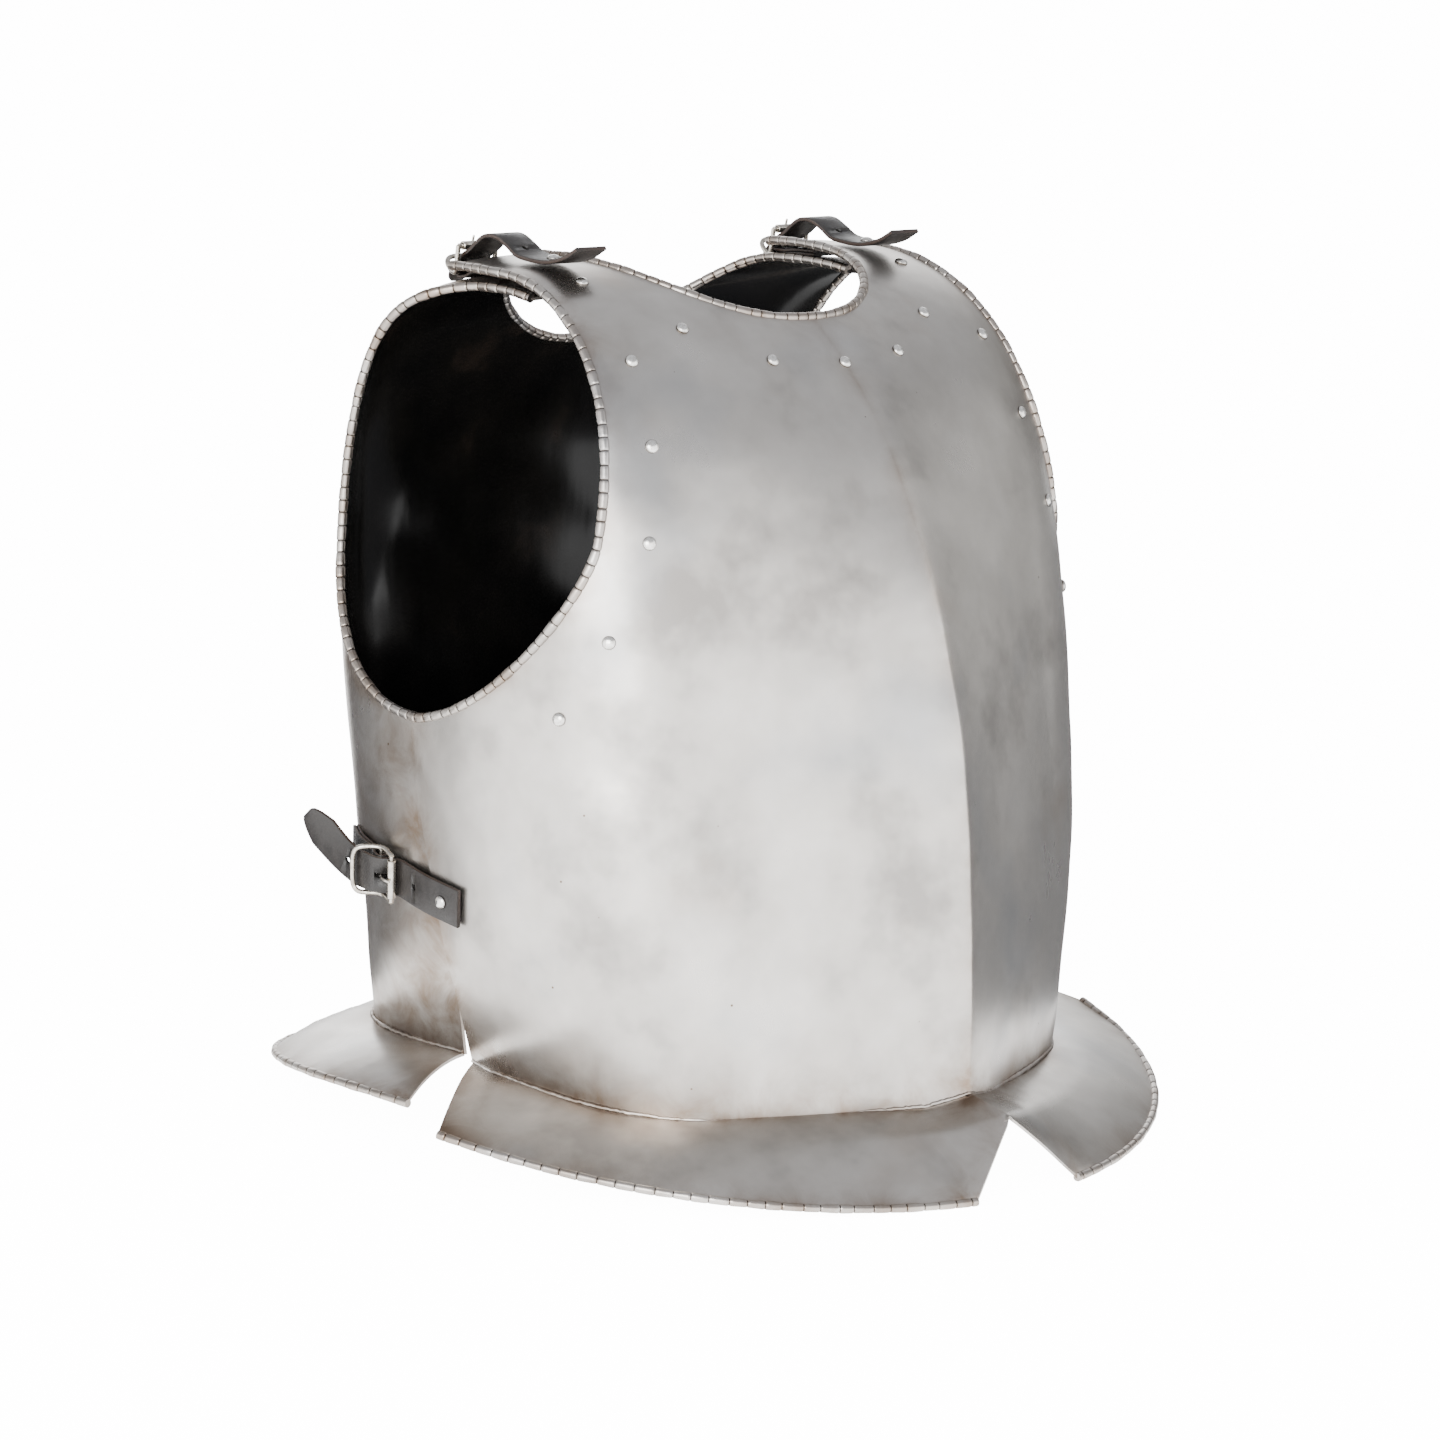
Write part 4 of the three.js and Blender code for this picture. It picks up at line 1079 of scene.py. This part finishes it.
def makeChape(kind, side, place):
    setup = fittings[kind]
    path = evenly(smoothPath(inThree(setup["chape"], side)), 0.8)
    bar = inThree([setup["bar"]])[0]
    run = path[1] - path[0]
    run /= np.linalg.norm(run)
    normal = np.cross(run, (0, 1, 0))
    eye = wireSetup["radius"] + wireSetup["clear"] + strapSetup["ply"] / 2
    lengths = lengthsAlong(path)
    spread = mix(eye, strapSetup["ply"] / 2 + 0.05, np.clip(lengths / 6, 0, 1) ** 0.8)
    tangent = np.gradient(path, axis=0)
    tangent /= np.linalg.norm(tangent, axis=1, keepdims=True)
    across = np.cross(tangent, (0, 1, 0))
    across /= np.linalg.norm(across, axis=1, keepdims=True)
    upper = path + across * spread[:, None]
    lower = path - across * spread[:, None]
    angles = np.linspace(0, math.pi, 12)
    loop = np.array([bar + eye * (math.cos(a) * normal - math.sin(a) * run) for a in angles])
    folded = np.concatenate([upper[::-1][:-1], loop, lower[1:]])
    folded = evenly(smoothPath(evenly(folded, 1.3), 4), 0.6)
    builder = Builder()
    addStrap(builder, folded, strapSetup["chapeWidth"], strapSetup["ply"], place)
    piece = builder.finish("chape", [bridleLeather])
    slot = Builder()
    corners = [bar + np.array([a, b, c]) for a in (-6, 6) for b in (-1.5, 1.5) for c in (-6, 6)]
    slot.block(place(np.array(corners)))
    cutAway(piece, slot.finish("slot", [bridleLeather], weldGap=1e-6))
    return piece, path


def makeBuckleFrame(kind, place):
    setup, wire = fittings[kind], wireSetup
    bow, foot = setup["bow"], setup["bowFoot"]
    knee = (mix(foot[0], bow[0], 0.75), mix(foot[1], bow[1], 0.75))
    half = [(*setup["roller"], wire["side"]), (*setup["bar"], wire["side"]),
            (*foot, wire["side"] - 0.6), (*knee, wire["side"] * 0.72)]
    around = half + [(*bow, 0)] + [(a, b, -c) for a, b, c in half[::-1]]
    builder = Builder()
    addTube(builder, place(evenly(smoothPath(inThree(around), 16), 0.6)), wire["radius"], 14)
    for end, radius in ((setup["bar"], wire["radius"]), (setup["roller"], wire["endBar"])):
        line = inThree([(*end, -wire["side"]), (*end, wire["side"])])
        addTube(builder, place(evenly(line, 1.5)), radius, 14)
    return builder.finish("frame", [nickelPlate], weldGap=1e-6)


def makeRoller(kind, place):
    wire, centre = wireSetup, inThree([fittings[kind]["roller"]])[0]
    half, out, hole = wire["rollerHalf"], wire["rollerOut"], wire["rollerIn"]
    profile = [(hole, -half), (out - 0.25, -half), (out, -half + 0.3), (out, half - 0.3),
               (out - 0.25, half), (hole, half), (hole, -half)]
    ends = place(np.array([centre, centre + (0, 1, 0)]))
    axis = ends[1] - ends[0]
    sides = 32
    side = np.cross(axis, (0.2, 0.1, 1))
    side /= np.linalg.norm(side)
    up = np.cross(axis, side)
    builder = Builder()
    rings = []
    for r, h in profile:
        angles = 2 * np.pi * np.arange(sides) / sides
        dip = 1 - 0.06 * (np.arange(sides) == 3) * (r > hole)      # the roller's rolled seam
        rings.append(ends[0] + h * axis + (r * dip)[:, None] * (np.outer(np.cos(angles), side)
                                                             + np.outer(np.sin(angles), up)))
    start = builder.add(np.array(rings))
    builder.strip(start, len(profile), sides, 0, closed=True)
    return builder.finish("roller", [nickelPlate])


def makeProng(kind, place):
    setup, wire = fittings[kind], wireSetup
    bar, prong = setup["bar"], setup["prong"]
    eye = wire["radius"] + wire["clear"] + wire["prong"]
    start = math.atan2(prong[0][1] - bar[1], prong[0][0] - bar[0])
    way = -1 if start < -1 else 1
    loop = [(bar[0] + eye * math.cos(start - way * b), bar[1] + eye * math.sin(start - way * b))
            for b in np.linspace(4.6, 0, 11)]
    path = evenly(smoothPath(inThree(loop[:-1] + list(prong)), 8), 0.45)
    share = np.linspace(0, 1, len(path))
    radius = wire["prong"] * (1 - 0.30 * np.clip((share - 0.55) / 0.45, 0, 1))
    radius[-1] *= 0.5
    builder = Builder()
    addTube(builder, place(path), radius, 12, squash=0.86)
    return builder.finish("prong", [nickelPlate], weldGap=1e-6)


def makeStrapRivet(path, along, thick, grip, place):
    spot, out = strapAt(path, along)
    ends = place(np.array([spot + out * thick / 2, spot + out * (thick / 2 + 1)]))
    builder = Builder()
    addRivet(builder, ends[0], ends[1] - ends[0], grip)
    return builder.finish("rivet", [rivetSteel], weldGap=1e-6)


for kind in ("shoulder", "side"):
    for hand, side in (("right", -1), ("left", 1)):
        place = strapFrame(kind, side)
        billet, billetPath = makeBillet(kind, side, place)
        chape, chapePath = makeChape(kind, side, place)
        made = {
            "billet": (billet, "strap_leather"), "chape": (chape, "strap_leather"),
            "buckle": (makeBuckleFrame(kind, place), "buckle_nickel"),
            "roller": (makeRoller(kind, place), "buckle_nickel"),
            "prong": (makeProng(kind, place), "buckle_nickel"),
            "billet_rivet": (makeStrapRivet(billetPath, 0, strapSetup["thick"], 4.6, place),
                             "rivet_steel"),
            "chape_rivet": (makeStrapRivet(chapePath, fittings[kind]["chapeRivet"],
                                           strapSetup["ply"] * 2, 5.6, place), "rivet_steel"),
        }
        for part, (piece, slotName) in made.items():
            words = part.split("_") + [kind, hand]
            piece.name = words[0] + "".join(word.capitalize() for word in words[1:])
            standAs(piece, "root", slotName, "%s_%s_%s" % (kind, part, hand))
print("fitted the straps and buckles")
